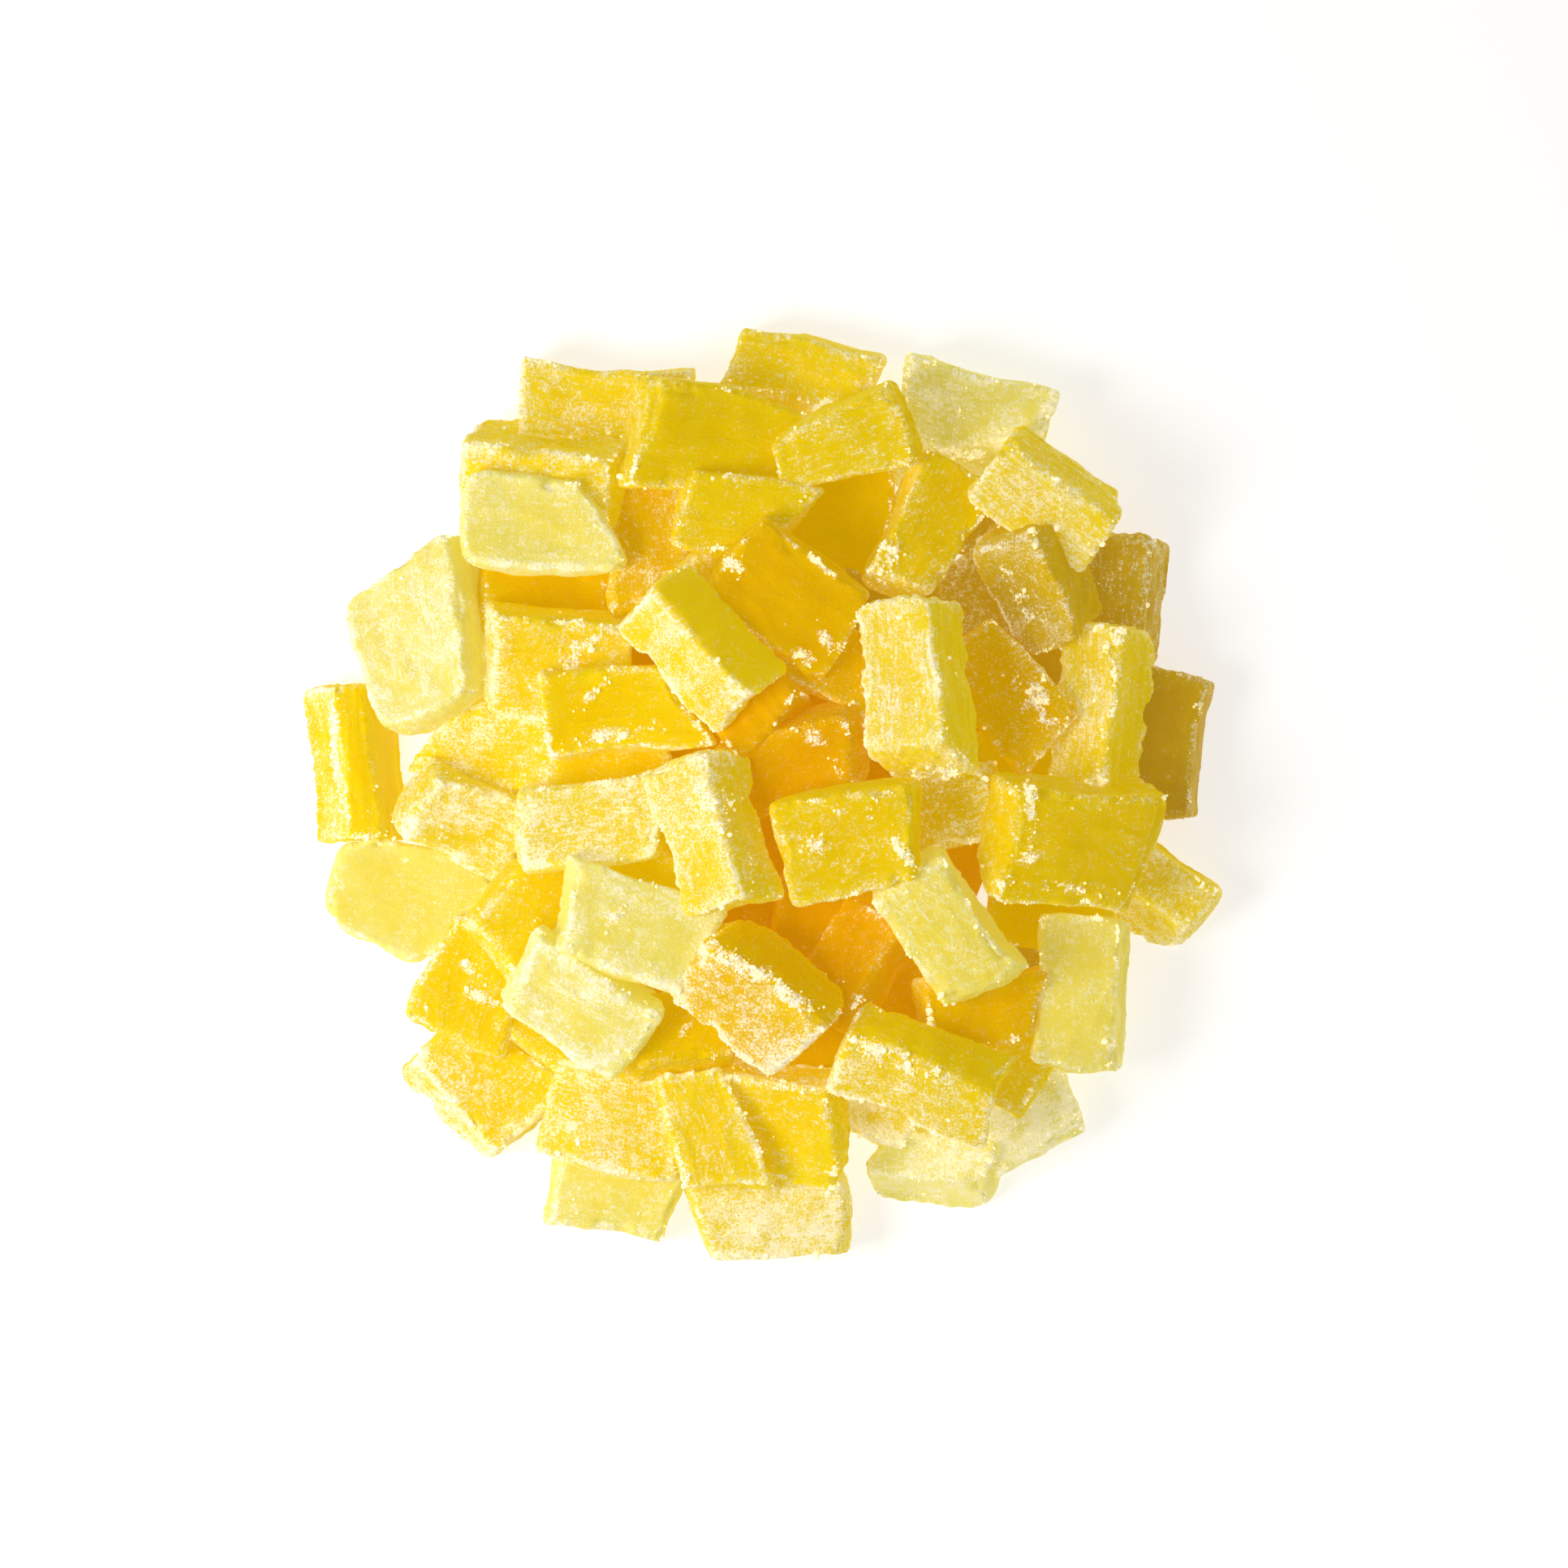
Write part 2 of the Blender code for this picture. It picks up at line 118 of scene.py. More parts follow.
# Dice that show. The lowest layer is laid first, and each layer in the order below
DICE = (
    Die("north_end", 1, (4.1, 46.0), -11, (15.2, 10.4, 7), (10, 18), 0.0, (4, 0, 0, 0)),
    Die("northwest_back", 1, (-18.3, 43.6), -3, (17, 9.5, 7.5), (8, 24)),
    Die("northeast_slab", 1, (24.1, 41.3), -7, (16, 12.2, 8), (0, 8), -0.22, (4.5, 0, 0, 0)),
    Die("east_upper", 1, (40.6, 22.6), 80, (13, 10.5, 8), (0, 0), -0.08, (3, 0, 0, 0)),
    Die("east_flat", 1, (45.2, 6.2), 83, (16.5, 11.8, 7.6), (0, 8), 0.0, (1.5, 0, 0, 0)),
    Die("southeast_stick", 1, (43.7, -10.4), -36, (13.4, 9, 7), (0, 6), 0.0, (4, 0, 0, 0)),
    Die("southeast_square", 1, (29.2, -35.6), 31, (11.2, 10.2, 7), (8, 8)),
    Die("south_wedge", 1, (19.8, -41.2), -5, (14, 9.8, 7), (17, 12), 0.0, (3.5, 2, 0, 0)),
    Die("south_strip", 1, (12.4, -34.6), -26, (12, 7, 6.5)),
    Die("southwest_low", 1, (-15.9, -44.0), -8, (15, 9.3, 7.5), (5, 20)),
    Die("southwest_corner", 1, (-31.3, -32.2), -45, (14.5, 12, 8.5), (0, 4), 0.0, (2.5, 0, 0, 0)),
    Die("west_smooth", 1, (-40.3, -11.6), -18, (16.8, 12.6, 8), (4, 26), 0.05),
    Die("west_end", 1, (-45.6, 4.0), 97, (17.8, 10.8, 8), (4, 4), 0.0, (3, 4.5, 0, 0)),
    Die("west_seam", 1, (-30.5, 18.0), 90, (15, 7, 7)),
    Die("north_shade", 1, (8.9, 30.6), 4, (11.5, 12, 8), (6, 4)),
    Die("northwest_gap", 1.2, (-25.0, 22.5), 0, (14, 9.5, 7)),
    Die("north_upright", 1.5, (-12.6, 28.0), 97, (15, 8, 9)),
    Die("west_gap", 1.7, (-17.0, 3.8), 10, (14, 9, 7)),
    Die("west_inner_gap", 2, (-12.3, -9.5), -30, (13, 9, 7)),
    Die("middle_deep", 2, (6.6, 9.4), -28, (14, 9, 7)),
    Die("middle_north_gap", 1, (13.4, 21.5), -8, (12, 8, 7)),
    Die("east_gap", 1, (32.0, 12.0), -22, (13, 9.5, 7)),
    Die("east_inner_gap", 1.5, (29.3, 3.4), 8, (14, 9, 7)),
    Die("southeast_gap", 1, (32.5, -13.4), -8, (14, 8.5, 6.5)),
    Die("south_inner_gap", 1, (28.4, -28.5), 62, (13, 9, 7)),
    Die("south_deep", 1, (6.4, -28.0), 60, (12, 8, 7)),
    Die("middle_south_gap", 2, (8.5, -13.4), -6, (14, 9, 8)),
    Die("amber_low", 1.6, (15.4, -21.8), -22, (13, 9, 7.5)),
    Die("southwest_nub", 1.2, (-24.6, -26.5), -40, (11, 7, 6.5)),
    Die("south_bar", 1, (-13.2, -30.3), -12, (12.5, 8, 7.5)),
    Die("north_nub", 2, (-6.0, 24.4), 30, (8, 6, 6)),
    Die("amber_ridge", 2.4, (10.8, -19.4), 54, (13, 7.5, 8), roll=-24),
    Die("middle_north", 2.6, (7.9, 14.6), -22, (13, 9.5, 7)),
    Die("middle_east", 2.6, (20.8, -2.0), 14, (12, 8.5, 7)),
    Die("middle_amber", 3, (4.0, 4.0), 16, (14.5, 9.5, 7.5), (0, 14)),
    Die("northwest_block", 1.8, (-23.8, 35.7), -5, (17.3, 9, 8)),
    Die("north_wedge", 2, (18.4, 30.0), 60, (16, 8.5, 8), (-16, 0), 0.22),
    Die("southeast_tile", 1.8, (36.4, -21.8), 88, (16.5, 11, 7.5), (0, 2), 0.0, (1.5, 0, 0, 0)),
    Die("west_tall", 2, (-37.8, 17.5), 101, (17.2, 12, 9), (-14, -24), 0.08),
    Die("west_fibrous", 2, (-32.9, -2.6), -24, (13.8, 8.8, 7.5), (10, 0)),
    Die("west_yellow", 1.2, (-29.5, 6.4), -9, (14, 9.0, 8), (28, -8)),
    Die("southwest_crust", 1.6, (-32.3, -20.2), 75, (14.5, 9.2, 7.5), (10, -10), -0.2),
    Die("southwest_torn", 2, (-26.4, -13.6), 47, (12, 9.2, 7), (10, -14)),
    Die("south_amber", 2.4, (-8.7, -26.8), 10, (13, 8, 7), (-18, 16)),
    Die("south_golden", 2, (2.3, -36.0), -8, (13, 11, 8), (-14, -6)),
    Die("south_end", 1.2, (1.3, -46.8), 3, (16, 10.6, 8.5), (-18, 0)),
    Die("southwest_pad", 1.8, (-16.3, -35.6), -12, (14, 11, 8), (4, -6)),
    Die("south_pointed", 2.4, (-6.0, -37.0), -72, (13.4, 8, 7.5), (8, 18), 0.14),
    Die("southeast_curved", 2.2, (24.9, -23.8), 8, (14, 8, 7.5), (0, 14), -0.12),
    Die("north_slab", 1.9, (-5.4, 40.2), -8, (19, 10, 8), (4, 6), -0.24),
    Die("north_rimmed", 2.4, (-2.8, 31.4), -10, (12.8, 8.8, 7), (0, 36)),
    Die("middle_gold", 3, (3.1, 22.1), -36, (15.5, 11.2, 8), (6, -6)),
    Die("east_dusted", 2, (27.8, 11.2), -47, (15.3, 9.4, 8), (0, -8)),
    Die("northeast_ridge", 2.2, (31.3, 23.9), -60, (14.4, 8.5, 8), roll=34, pitch=-12),
    Die("west_star", 2.2, (-22.3, 15.0), -4, (16, 11.6, 8), (-3, 0)),
    Die("west_golden", 3, (-15.7, 9.6), 6, (15.8, 9.6, 8), (0, -34)),
    Die("middle_under", 3, (-2.4, 12.2), -44, (14, 10.5, 7)),
    Die("west_dusted", 3, (-18.4, -3.0), 4, (16, 9.0, 7.5), (-4, 6)),
    Die("northwest_pale", 2.5, (-25.1, 30.6), -4, (16.4, 9.2, 7), (0, -32)),
    Die("north_point", 2.5, (9.6, 39.9), 18, (14.4, 7.8, 7.5), (0, 0), 0.3, roll=8, pitch=12),
    Die("middle_ridge", 4, (-6.3, 16.4), -46, (16.5, 7.8, 7.2), roll=44, pitch=4),
    Die("southeast_long", 3.5, (21.2, -14.9), -54, (17.2, 9.3, 7.5), (4, 8), 0.0, (0, 0, 0, 2.5), 8, -12),
    Die("south_ridge", 3.2, (17.9, -30.8), -20, (18.2, 8, 7.5), (4, 0), roll=40),
    Die("southwest_cream", 3.4, (-20.0, -23.0), -31, (15, 9, 7.5), (-4, 4), roll=14, pitch=-8),
    Die("south_frosted", 4, (-0.4, -21.6), -37, (15.5, 9, 8.2), (4, 6), roll=34),
    Die("east_stick", 2, (38.6, 9.8), 82, (17.6, 7.6, 7.6), roll=-34),
    Die("east_broad", 3.3, (34.3, -5.0), -6, (17.2, 12.6, 8), (0, 16)),
    Die("northeast_beige", 2.4, (32.2, 33.6), -32, (15, 8.6, 7.6), roll=28, pitch=-6),
    Die("middle_dusted", 4.1, (10.0, -4.7), 11, (16, 11, 8), (-4, 2)),
    Die("middle_white", 4.9, (-4.8, -4.2), 104, (17, 8.8, 8), roll=-34, pitch=-6),
    Die("south_lemon", 4.7, (-14.3, -14.7), -22, (16.2, 10.4, 6.8), (-9, 7)),
    Die("middle_tall", 4.4, (17.5, 11.9), 93, (19.6, 10, 8.6), (0, 0), 0.0, (0, 0, 3, 0), -30, -6),
)

# Low dice on the floor of gaps where the photo shows fruit. They carry none of the others
LOW_DICE = (
    Die("northeast_low_gap", 1, (24.4, 21.9), 42, (15, 11, 6.5)),
    Die("north_low_gap", 1, (25.4, 30.6), -20, (9, 7, 6)),
    Die("northwest_low_gap", 1, (-16.6, 22.6), 0, (8, 8, 6)),
    Die("southeast_low_gap", 1, (30.4, -16.6), 20, (12, 10, 5)),
)


class Look(NamedTuple):
    """How one die is finished."""

    kind: str  # the piece that it belongs to
    tone: float  # from its kind's pale flesh at 0 to the deep flesh at 1
    # Sugar by side is partly real and partly painted light: sides facing west, towards the key light, are
    # whiter, and sides facing east, in shade, barer and deeper
    dust: tuple  # sugar on what faces up, north, east, south and west, where 0 is bare and 1 is thick
    fibre: float = 0.4  # how far its fibres stand out
    blunt: float = 0.0  # how far its upright edges are drawn in


# Tones and sugar are partly each die's own colour and partly painted light and shade: dice at the right, deep
# in the gaps and in the shade of others are set deeper
LOOKS = {
    "north_end": Look("bright", 0.3, (0.4, 0.3, 0.4, 0.75, 0.4)),
    "northwest_back": Look("bright", 0.3, (0.55, 0.4, 0.3, 0.4, 0.5)),
    "northeast_slab": Look("lemon", 0.3, (0.75, 0.4, 0.4, 0.7, 0.4)),
    "east_upper": Look("olive", 0.8, (0.35, 0.3, 0.4, 0.3, 0.4), 0.7),
    "east_flat": Look("olive", 1.0, (0.1, 0.2, 0.2, 0.2, 0.2), 0.1),
    "southeast_stick": Look("frosted", 0.7, (0.6, 0.2, 0.3, 0.7, 0.6)),
    "southeast_square": Look("lemon", 0.0, (1.1, 0.6, 0.6, 0.7, 0.7)),
    "south_wedge": Look("lemon", 0.0, (0.85, 0.4, 0.3, 0.5, 0.6), 0.2, 0.1),
    "south_strip": Look("frosted", 0.0, (1.1, 0.7, 0.7, 0.8, 0.7)),
    "southwest_low": Look("lemon", 0.7, (0.5, 0.3, 0.2, 0.3, 0.4)),
    "southwest_corner": Look("bright", 0.6, (0.5, 0.3, 0.4, 0.9, 0.8)),
    "west_smooth": Look("lemon", 0.6, (0.4, 0.2, 0.1, 0.3, 0.4), 0.1, 0.26),
    "west_end": Look("bright", 0.6, (0.15, 0.3, 0.0, 0.3, 0.55), 0.6),
    "west_seam": Look("honey", 0.8, (0.2, 0.2, 0.2, 0.2, 0.2)),
    "north_shade": Look("golden", 1.0, (0.0, 0.0, 0.0, 0.0, 0.0), 0.1),
    "northwest_gap": Look("honey", 0.5, (0.0, 0.0, 0.0, 0.1, 0.2)),
    "north_upright": Look("honey", 0.6, (0.4, 0.4, 0.4, 0.4, 0.5), 0.6),
    "west_gap": Look("bright", 0.8, (0.3, 0.4, 0.3, 0.4, 0.4)),
    "west_inner_gap": Look("bright", 0.6, (0.2, 0.1, 0.1, 0.1, 0.1)),
    "middle_deep": Look("amber", 1.0, (0.0, 0.0, 0.0, 0.0, 0.0)),
    "middle_north_gap": Look("olive", 0.2, (0.0, 0.0, 0.0, 0.0, 0.0)),
    "east_gap": Look("olive", 0.2, (0.0, 0.0, 0.0, 0.0, 0.0)),
    "east_inner_gap": Look("golden", 0.6, (0.1, 0.1, 0.1, 0.1, 0.1)),
    "southeast_gap": Look("golden", 0.6, (0.1, 0.0, 0.0, 0.0, 0.0), 0.1),
    "south_inner_gap": Look("bright", 0.0, (0.4, 0.1, 0.1, 0.1, 0.1)),
    "south_deep": Look("honey", 0.9, (0.0, 0.0, 0.0, 0.0, 0.0)),
    "middle_south_gap": Look("amber", 1.0, (0.0, 0.0, 0.0, 0.0, 0.0)),
    "amber_low": Look("amber", 0.2, (0.15, 0.1, 0.1, 0.1, 0.1)),
    "southwest_nub": Look("bright", 0.6, (0.4, 0.4, 0.4, 0.5, 0.5)),
    "south_bar": Look("bright", 0.5, (0.3, 0.3, 0.3, 0.5, 0.4)),
    "north_nub": Look("golden", 0.3, (0.4, 0.4, 0.4, 0.4, 0.4)),
    "amber_ridge": Look("amber", 0.8, (0.2, 0.2, 0.2, 0.2, 0.4)),
    "middle_north": Look("honey", 0.4, (0.25, 0.3, 0.3, 0.5, 0.3)),
    "middle_east": Look("golden", 0.6, (0.6, 0.5, 0.4, 0.6, 0.6), 0.7),
    "middle_amber": Look("amber", 0.6, (0.15, 0.3, 0.4, 0.1, 0.1)),
    "northwest_block": Look("bright", 0.3, (0.55, 0.4, 0.2, 0.5, 0.75)),
    "north_wedge": Look("golden", 0.6, (0.3, 0.3, 0.3, 0.6, 0.4)),
    "southeast_tile": Look("lemon", 0.7, (0.5, 0.4, 0.4, 0.4, 0.4), 0.1),
    "west_tall": Look("lemon", 0.5, (0.7, 0.4, 0.3, 0.5, 0.5), 0.4, 0.08),
    "west_fibrous": Look("frosted", 0.5, (0.85, 0.5, 0.4, 0.5, 0.7), 1.0),
    "west_yellow": Look("bright", 0.4, (0.6, 0.4, 0.1, 0.6, 0.6)),
    "southwest_crust": Look("bright", 0.7, (0.3, 0.4, 0.4, 0.5, 0.5), 0.7),
    "southwest_torn": Look("bright", 0.75, (0.3, 0.3, 0.3, 0.5, 0.5)),
    "south_amber": Look("honey", 0.1, (0.12, 0.1, 0.1, 0.3, 0.2)),
    "south_golden": Look("bright", 0.5, (0.35, 0.5, 0.3, 0.2, 0.2), 0.9),
    "south_end": Look("frosted", 0.2, (0.9, 0.6, 0.6, 0.6, 0.7)),
    "southwest_pad": Look("bright", 0.5, (0.65, 0.4, 0.4, 0.8, 0.6)),
    "south_pointed": Look("bright", 0.55, (0.4, 0.3, 0.4, 0.4, 0.4), 0.7),
    "southeast_curved": Look("honey", 0.7, (0.15, 0.3, 0.4, 0.4, 0.3)),
    "north_slab": Look("golden", 0.4, (0.2, 0.2, 0.2, 0.3, 0.5)),
    "north_rimmed": Look("golden", 0.2, (0.28, 0.4, 0.5, 0.3, 0.3)),
    "middle_gold": Look("honey", 0.85, (0.0, 0.1, 0.2, 0.4, 0.3), 0.2),
    "east_dusted": Look("honey", 0.7, (0.3, 0.4, 0.4, 0.2, 0.1)),
    "northeast_ridge": Look("olive", 0.15, (0.5, 0.2, 0.1, 0.1, 0.9)),
    "west_star": Look("bright", 0.55, (0.5, 0.3, 0.1, 0.6, 0.8), 0.2),
    "west_golden": Look("bright", 0.75, (0.15, 0.3, 0.1, 0.5, 0.5)),
    "middle_under": Look("amber", 0.5, (0.0, 0.0, 0.0, 0.1, 0.0)),
    "west_dusted": Look("frosted", 0.35, (0.75, 0.6, 0.2, 0.5, 0.6), 0.6),
    "northwest_pale": Look("lemon", 0.5, (0.5, 0.4, 0.1, 0.5, 0.5), 0.3, 0.05),
    "north_point": Look("golden", 0.2, (0.4, 0.2, 0.2, 0.4, 0.7), 0.8),
    "middle_ridge": Look("bright", 0.2, (0.3, 0.0, 0.0, 1.1, 1.1), 0.5),
    "southeast_long": Look("lemon", 0.9, (0.5, 0.3, 0.1, 0.4, 0.6), 0.7),
    "south_ridge": Look("golden", 0.3, (0.4, 0.1, 0.2, 0.95, 0.7)),
    "southwest_cream": Look("lemon", 0.4, (0.75, 0.3, 0.1, 0.6, 0.8), 0.4),
    "south_frosted": Look("honey", 0.5, (0.3, 0.0, 0.1, 1.6, 1.6)),
    "east_stick": Look("frosted", 0.6, (0.6, 0.4, 0.2, 0.2, 0.7), 0.9),
    "east_broad": Look("golden", 0.6, (0.2, 0.3, 0.3, 0.6, 0.4), 0.3),
    "northeast_beige": Look("frosted", 0.6, (0.6, 0.3, 0.4, 0.8, 0.8), 0.8),
    "middle_dusted": Look("golden", 0.6, (0.32, 0.2, 0.0, 0.5, 0.3), 0.2),
    "middle_white": Look("frosted", 0.4, (0.65, 0.5, 0.4, 0.4, 0.65), 0.5),
    "south_lemon": Look("lemon", 0.4, (0.6, 0.3, 0.4, 0.4, 0.4), 0.15),
    "middle_tall": Look("frosted", 0.35, (0.55, 0.4, 0.2, 0.5, 0.8), 1.0),
    "northeast_low_gap": Look("olive", 0.0, (0.5, 0.4, 0.4, 0.4, 0.4)),
    "north_low_gap": Look("olive", 0.0, (0.5, 0.4, 0.4, 0.4, 0.4)),
    "northwest_low_gap": Look("honey", 0.6, (0.1, 0.1, 0.1, 0.1, 0.1)),
    "southeast_low_gap": Look("olive", 0.0, (0.3, 0.2, 0.2, 0.2, 0.2)),
}


class Patch(NamedTuple):
    """A thick patch of sugar on the upper side of a die."""

    die: str
    at: tuple  # east and north of the heap's middle
    reach: tuple  # along its turn, and across
    turn: float
    weight: float  # how thick it is, up to 1


PATCHES = (
    Patch("west_star", (-21.5, 17.3), (1.9, 1.2), 60, 1.0),
    Patch("west_star", (-18.4, 17.8), (2.0, 0.6), 35, 0.8),
    Patch("west_star", (-21.0, 14.4), (2.0, 0.8), 80, 0.9),
    Patch("west_star", (-24.4, 13.8), (1.3, 0.7), 20, 0.6),
    Patch("middle_gold", (-2.7, 25.6), (1.4, 0.8), -50, 0.9),
    Patch("middle_gold", (5.0, 15.8), (1.3, 0.7), -30, 1.0),
    Patch("middle_gold", (7.4, 17.6), (1.2, 0.7), -60, 0.8),
    Patch("middle_gold", (8.4, 16.4), (0.8, 0.5), -20, 0.8),
    Patch("middle_white", (-5.3, 0.3), (3.0, 1.1), -62, 1.0),
    Patch("middle_white", (-2.2, -7.6), (1.6, 0.8), -70, 0.8),
    Patch("middle_dusted", (12.8, -2.0), (2.2, 1.0), 70, 0.9),
    Patch("middle_dusted", (15.8, -5.8), (1.8, 0.6), -60, 1.0),
    Patch("middle_dusted", (6.6, -5.4), (2.0, 1.0), -10, 0.8),
    Patch("middle_dusted", (8.6, -1.4), (1.5, 0.7), 10, 0.7),
    Patch("middle_amber", (6.2, 6.8), (1.8, 0.9), -40, 0.9),
    Patch("middle_amber", (8.4, 3.9), (1.7, 0.6), -60, 0.9),
    Patch("east_dusted", (30.9, 10.8), (3.0, 1.5), -50, 1.0),
    Patch("northeast_ridge", (29.2, 22.4), (4.0, 0.9), -62, 0.8),
    Patch("east_stick", (39.4, 17.0), (1.6, 0.9), 60, 1.0),
    Patch("east_stick", (38.9, 9.0), (6.0, 0.5), 84, 0.55),
    Patch("east_broad", (30.4, -6.6), (1.3, 0.7), 20, 1.0),
    Patch("east_broad", (30.2, -2.0), (4.0, 0.5), -86, 0.8),
    Patch("east_broad", (34.5, -9.9), (6.5, 0.7), -4, 0.6),
    Patch("middle_tall", (20.2, 2.9), (3.4, 0.7), 5, 0.8),
    Patch("south_lemon", (-16.1, -13.0), (1.3, 0.9), 40, 1.0),
    Patch("south_lemon", (-14.2, -11.8), (1.2, 0.5), 30, 0.7),
    Patch("south_frosted", (0.7, -20.4), (6.5, 0.9), -33, 0.9),
    Patch("south_amber", (-8.0, -26.0), (1.2, 0.6), 50, 0.9),
    Patch("southwest_torn", (-25.5, -13.9), (1.0, 0.4), 10, 0.8),
    Patch("southwest_crust", (-31.0, -22.6), (3.0, 0.7), -30, 0.8),
    Patch("southwest_crust", (-32.4, -19.0), (2.6, 0.6), -40, 0.7),
    Patch("west_golden", (-15.6, 7.2), (5.0, 0.9), 8, 0.8),
    Patch("west_golden", (-18.0, 11.8), (2.4, 0.6), 40, 0.7),
    Patch("north_end", (8.2, 43.4), (2.6, 1.0), -20, 0.9),
    Patch("northeast_slab", (24.0, 38.9), (4.5, 0.6), -6, 0.9),
    Patch("north_wedge", (14.2, 26.2), (2.4, 1.0), 60, 0.8),
    Patch("west_end", (-47.6, 5.0), (5.5, 0.8), 95, 0.8),
    Patch("south_ridge", (14.6, -28.8), (5.0, 0.8), -22, 0.8),
    Patch("south_golden", (2.0, -31.8), (4.6, 0.8), -24, 0.8),
    Patch("southwest_cream", (-16.4, -21.4), (3.0, 0.9), -34, 0.8),
)


class Kind(NamedTuple):
    """The colours of the dice of one kind, which are joined as one piece."""

    called: str  # in the descriptions of its colours
    pale: tuple  # flesh at a tone of 0
    deep: tuple  # flesh at a tone of 1
    film: tuple  # thin sugar over the flesh


KINDS = {
    "lemon": Kind("lemon dice", (0.75, 0.70, 0.22), (0.75, 0.62, 0.06), (0.84, 0.86, 0.42)),
    "bright": Kind("bright dice", (0.77, 0.63, 0.01), (0.77, 0.52, 0.001), (0.82, 0.76, 0.16)),
    "golden": Kind("golden dice", (0.73, 0.58, 0.005), (0.70, 0.47, 0.001), (0.78, 0.70, 0.12)),
    "honey": Kind("honey dice", (0.72, 0.53, 0.002), (0.69, 0.40, 0.001), (0.78, 0.64, 0.09)),
    "frosted": Kind("frosted dice", (0.76, 0.63, 0.02), (0.74, 0.53, 0.002), (0.80, 0.76, 0.30)),
    # Amber: partly the dice's own colour and partly painted shade and warm bounce deep in the gaps
    "amber": Kind("low amber dice", (0.71, 0.44, 0.002), (0.67, 0.33, 0.001), (0.80, 0.60, 0.08)),
    # Olive: partly the dice's own dull colour and partly painted shade, on dice at the right away from the
    # key light and low in the gaps
    "olive": Kind("dull dice", (0.65, 0.48, 0.002), (0.51, 0.31, 0.012), (0.70, 0.60, 0.22)),
}

# Shape of a die's fine mesh
CROWDING = 0.35  # how much closer its points lie towards the edges
ROUNDING = (0.6, 1.5)  # how far its edges are rounded, as a share of the edge radius
RIM_REACH = 0.5  # how far the torn rim reaches in from an edge
THIN_REACH = 1.6  # how far in from an edge the flesh is thin
PULL = (0.0, 0.06)  # how far its edges are drawn in
PULL_POWER = 3  # how close to its edges this stays
DISH = (-0.45, 0.75)  # depth of the hollow in a side, which bulges where this is under 0
OWN_OFFSET = (0, 90)  # how far its patterns are moved, so that no two dice are alike
END_POWER = 12  # how close to its two ends the tearing of a fibrous die stays
CHIP_START = 0.15  # height of the chips' noise from which an edge is chipped
CHIP_REACH = 1.5  # how far from an edge a chip still cuts slantwise
DENT_SHARE = 0.8  # height of its dents, as a share of its lumps
DENT_POWER = 0.5
SEAM_NARROWING = 4
SQUASH = 1.0  # height under which it is pressed flat on the table
SQUASH_DROP = 0.2  # how much lower its foot is then set

# Sugar on a die. A level is what the noise with the same name varies about
DUST_SHARE = 0.82  # how thick the fine sugar is, as a share of what the looks say
RIM_DUST = 0.32  # more fine sugar on the torn rim
THIN_DUST_AND_PAINTED_LIGHT = 0.1  # more fine sugar where the flesh is thin, partly real and partly painted light through the thin rim
DUSTY_RIM_LEVEL = 0.6
RIM_CRUST = 0.8
CRUMBLY_START = 0.1
SHELTERED = 0.3  # share of the rim's crust on sides that face away from the sky
SHELTERED_SLOPE = 2  # how fast it thickens as a side turns to the sky
RAGGED_PATCH_LEVEL = 0.6
PATCH_SPREAD = 1.4
PATCH_SLOPE = 3  # how fast a patch thickens as a side turns to the sky
GRIT_LEVEL = 0.5
DUST_LIFT = 0.25  # how high the fine sugar stands, as a share of the crust's height
THIN_PAINTED_PALENESS = 0.35  # painted light: how far the tone falls, to paler flesh, where the flesh is thin

# The core's fine mesh
FINE_RINGS = 40
FINE_SIDES = 120
CORE_LOWEST = 0.2  # least height of its lumps over the table
CORE_RELIEF = 2.0  # height of its lumps, as a share of a die's
CORE_OFFSET = 10.0  # moves its patterns away from those of the dice
CORE_NUMBERS = (0.1, 0.0, 0.4, 0.6)  # its dust, crust, fibres and tone

# Loose grains and crumbs
GRAIN_ROUNDS = 1  # how finely a grain is rounded
CRUMB_ROUNDS = 2
CRUMB_DRAW = 7  # seed of the draws that place and shape them
CRUMB_STRETCH = (0.4, 1.1)
CRUMB_LUMPS = 0.4  # height of a crumb's lumps, as a share of its radius
CRUMB_WAVES = 1.5  # how many of them go into its radius
CRUMB_STEP = 7.0  # moves each crumb's lumps away from those of the last
CRUMB_SEED = 14
CRUMB_LIFT = 0.2  # how high its middle lies over the die, as a share of its width
CRUMBS_ON_DUST = 0.03  # how often they lie on fine sugar, against 1 on the crust
EXPOSED = 0.9  # depth under the top of the heap where a point still lies open
LEAST_OPEN = 0.1  # upward part of a normal from which a point lies open

# Stage. Places and heights are in metres, apart from the middle of the picture
FLOOR_SIZE = 3.0
FLOOR_ROUGHNESS = 0.9
KEY_PLACE = (-0.17, -0.05, 0.20)
KEY_TARGET = (0.0, 0.0, 0.01)
VIEW_LEVEL = 0.01  # height at which the picture is as wide as the view width says
FARTHEST = 10.0
PICTURE_MIDDLE = (2.82, 1.45, 0)  # where the camera looks, in the layout's own millimetres

# Numbers that scramble a cell's place into a hash
SCRAMBLE = np.array((73856093, 19349663, 83492791), dtype=np.int64)
SEED_STEP = 40503
SHIFTS = (13, 16)
STIR = 1274126177
WORD = 0xFFFFFFFF


class Wave(NamedTuple):
    """A layer of smooth noise."""

    span: float | tuple  # how wide its bumps are, the same all ways or along, across and up a die
    seed: int  # its own number, so that no two layers are alike
    share: float = 1.0  # how far it counts


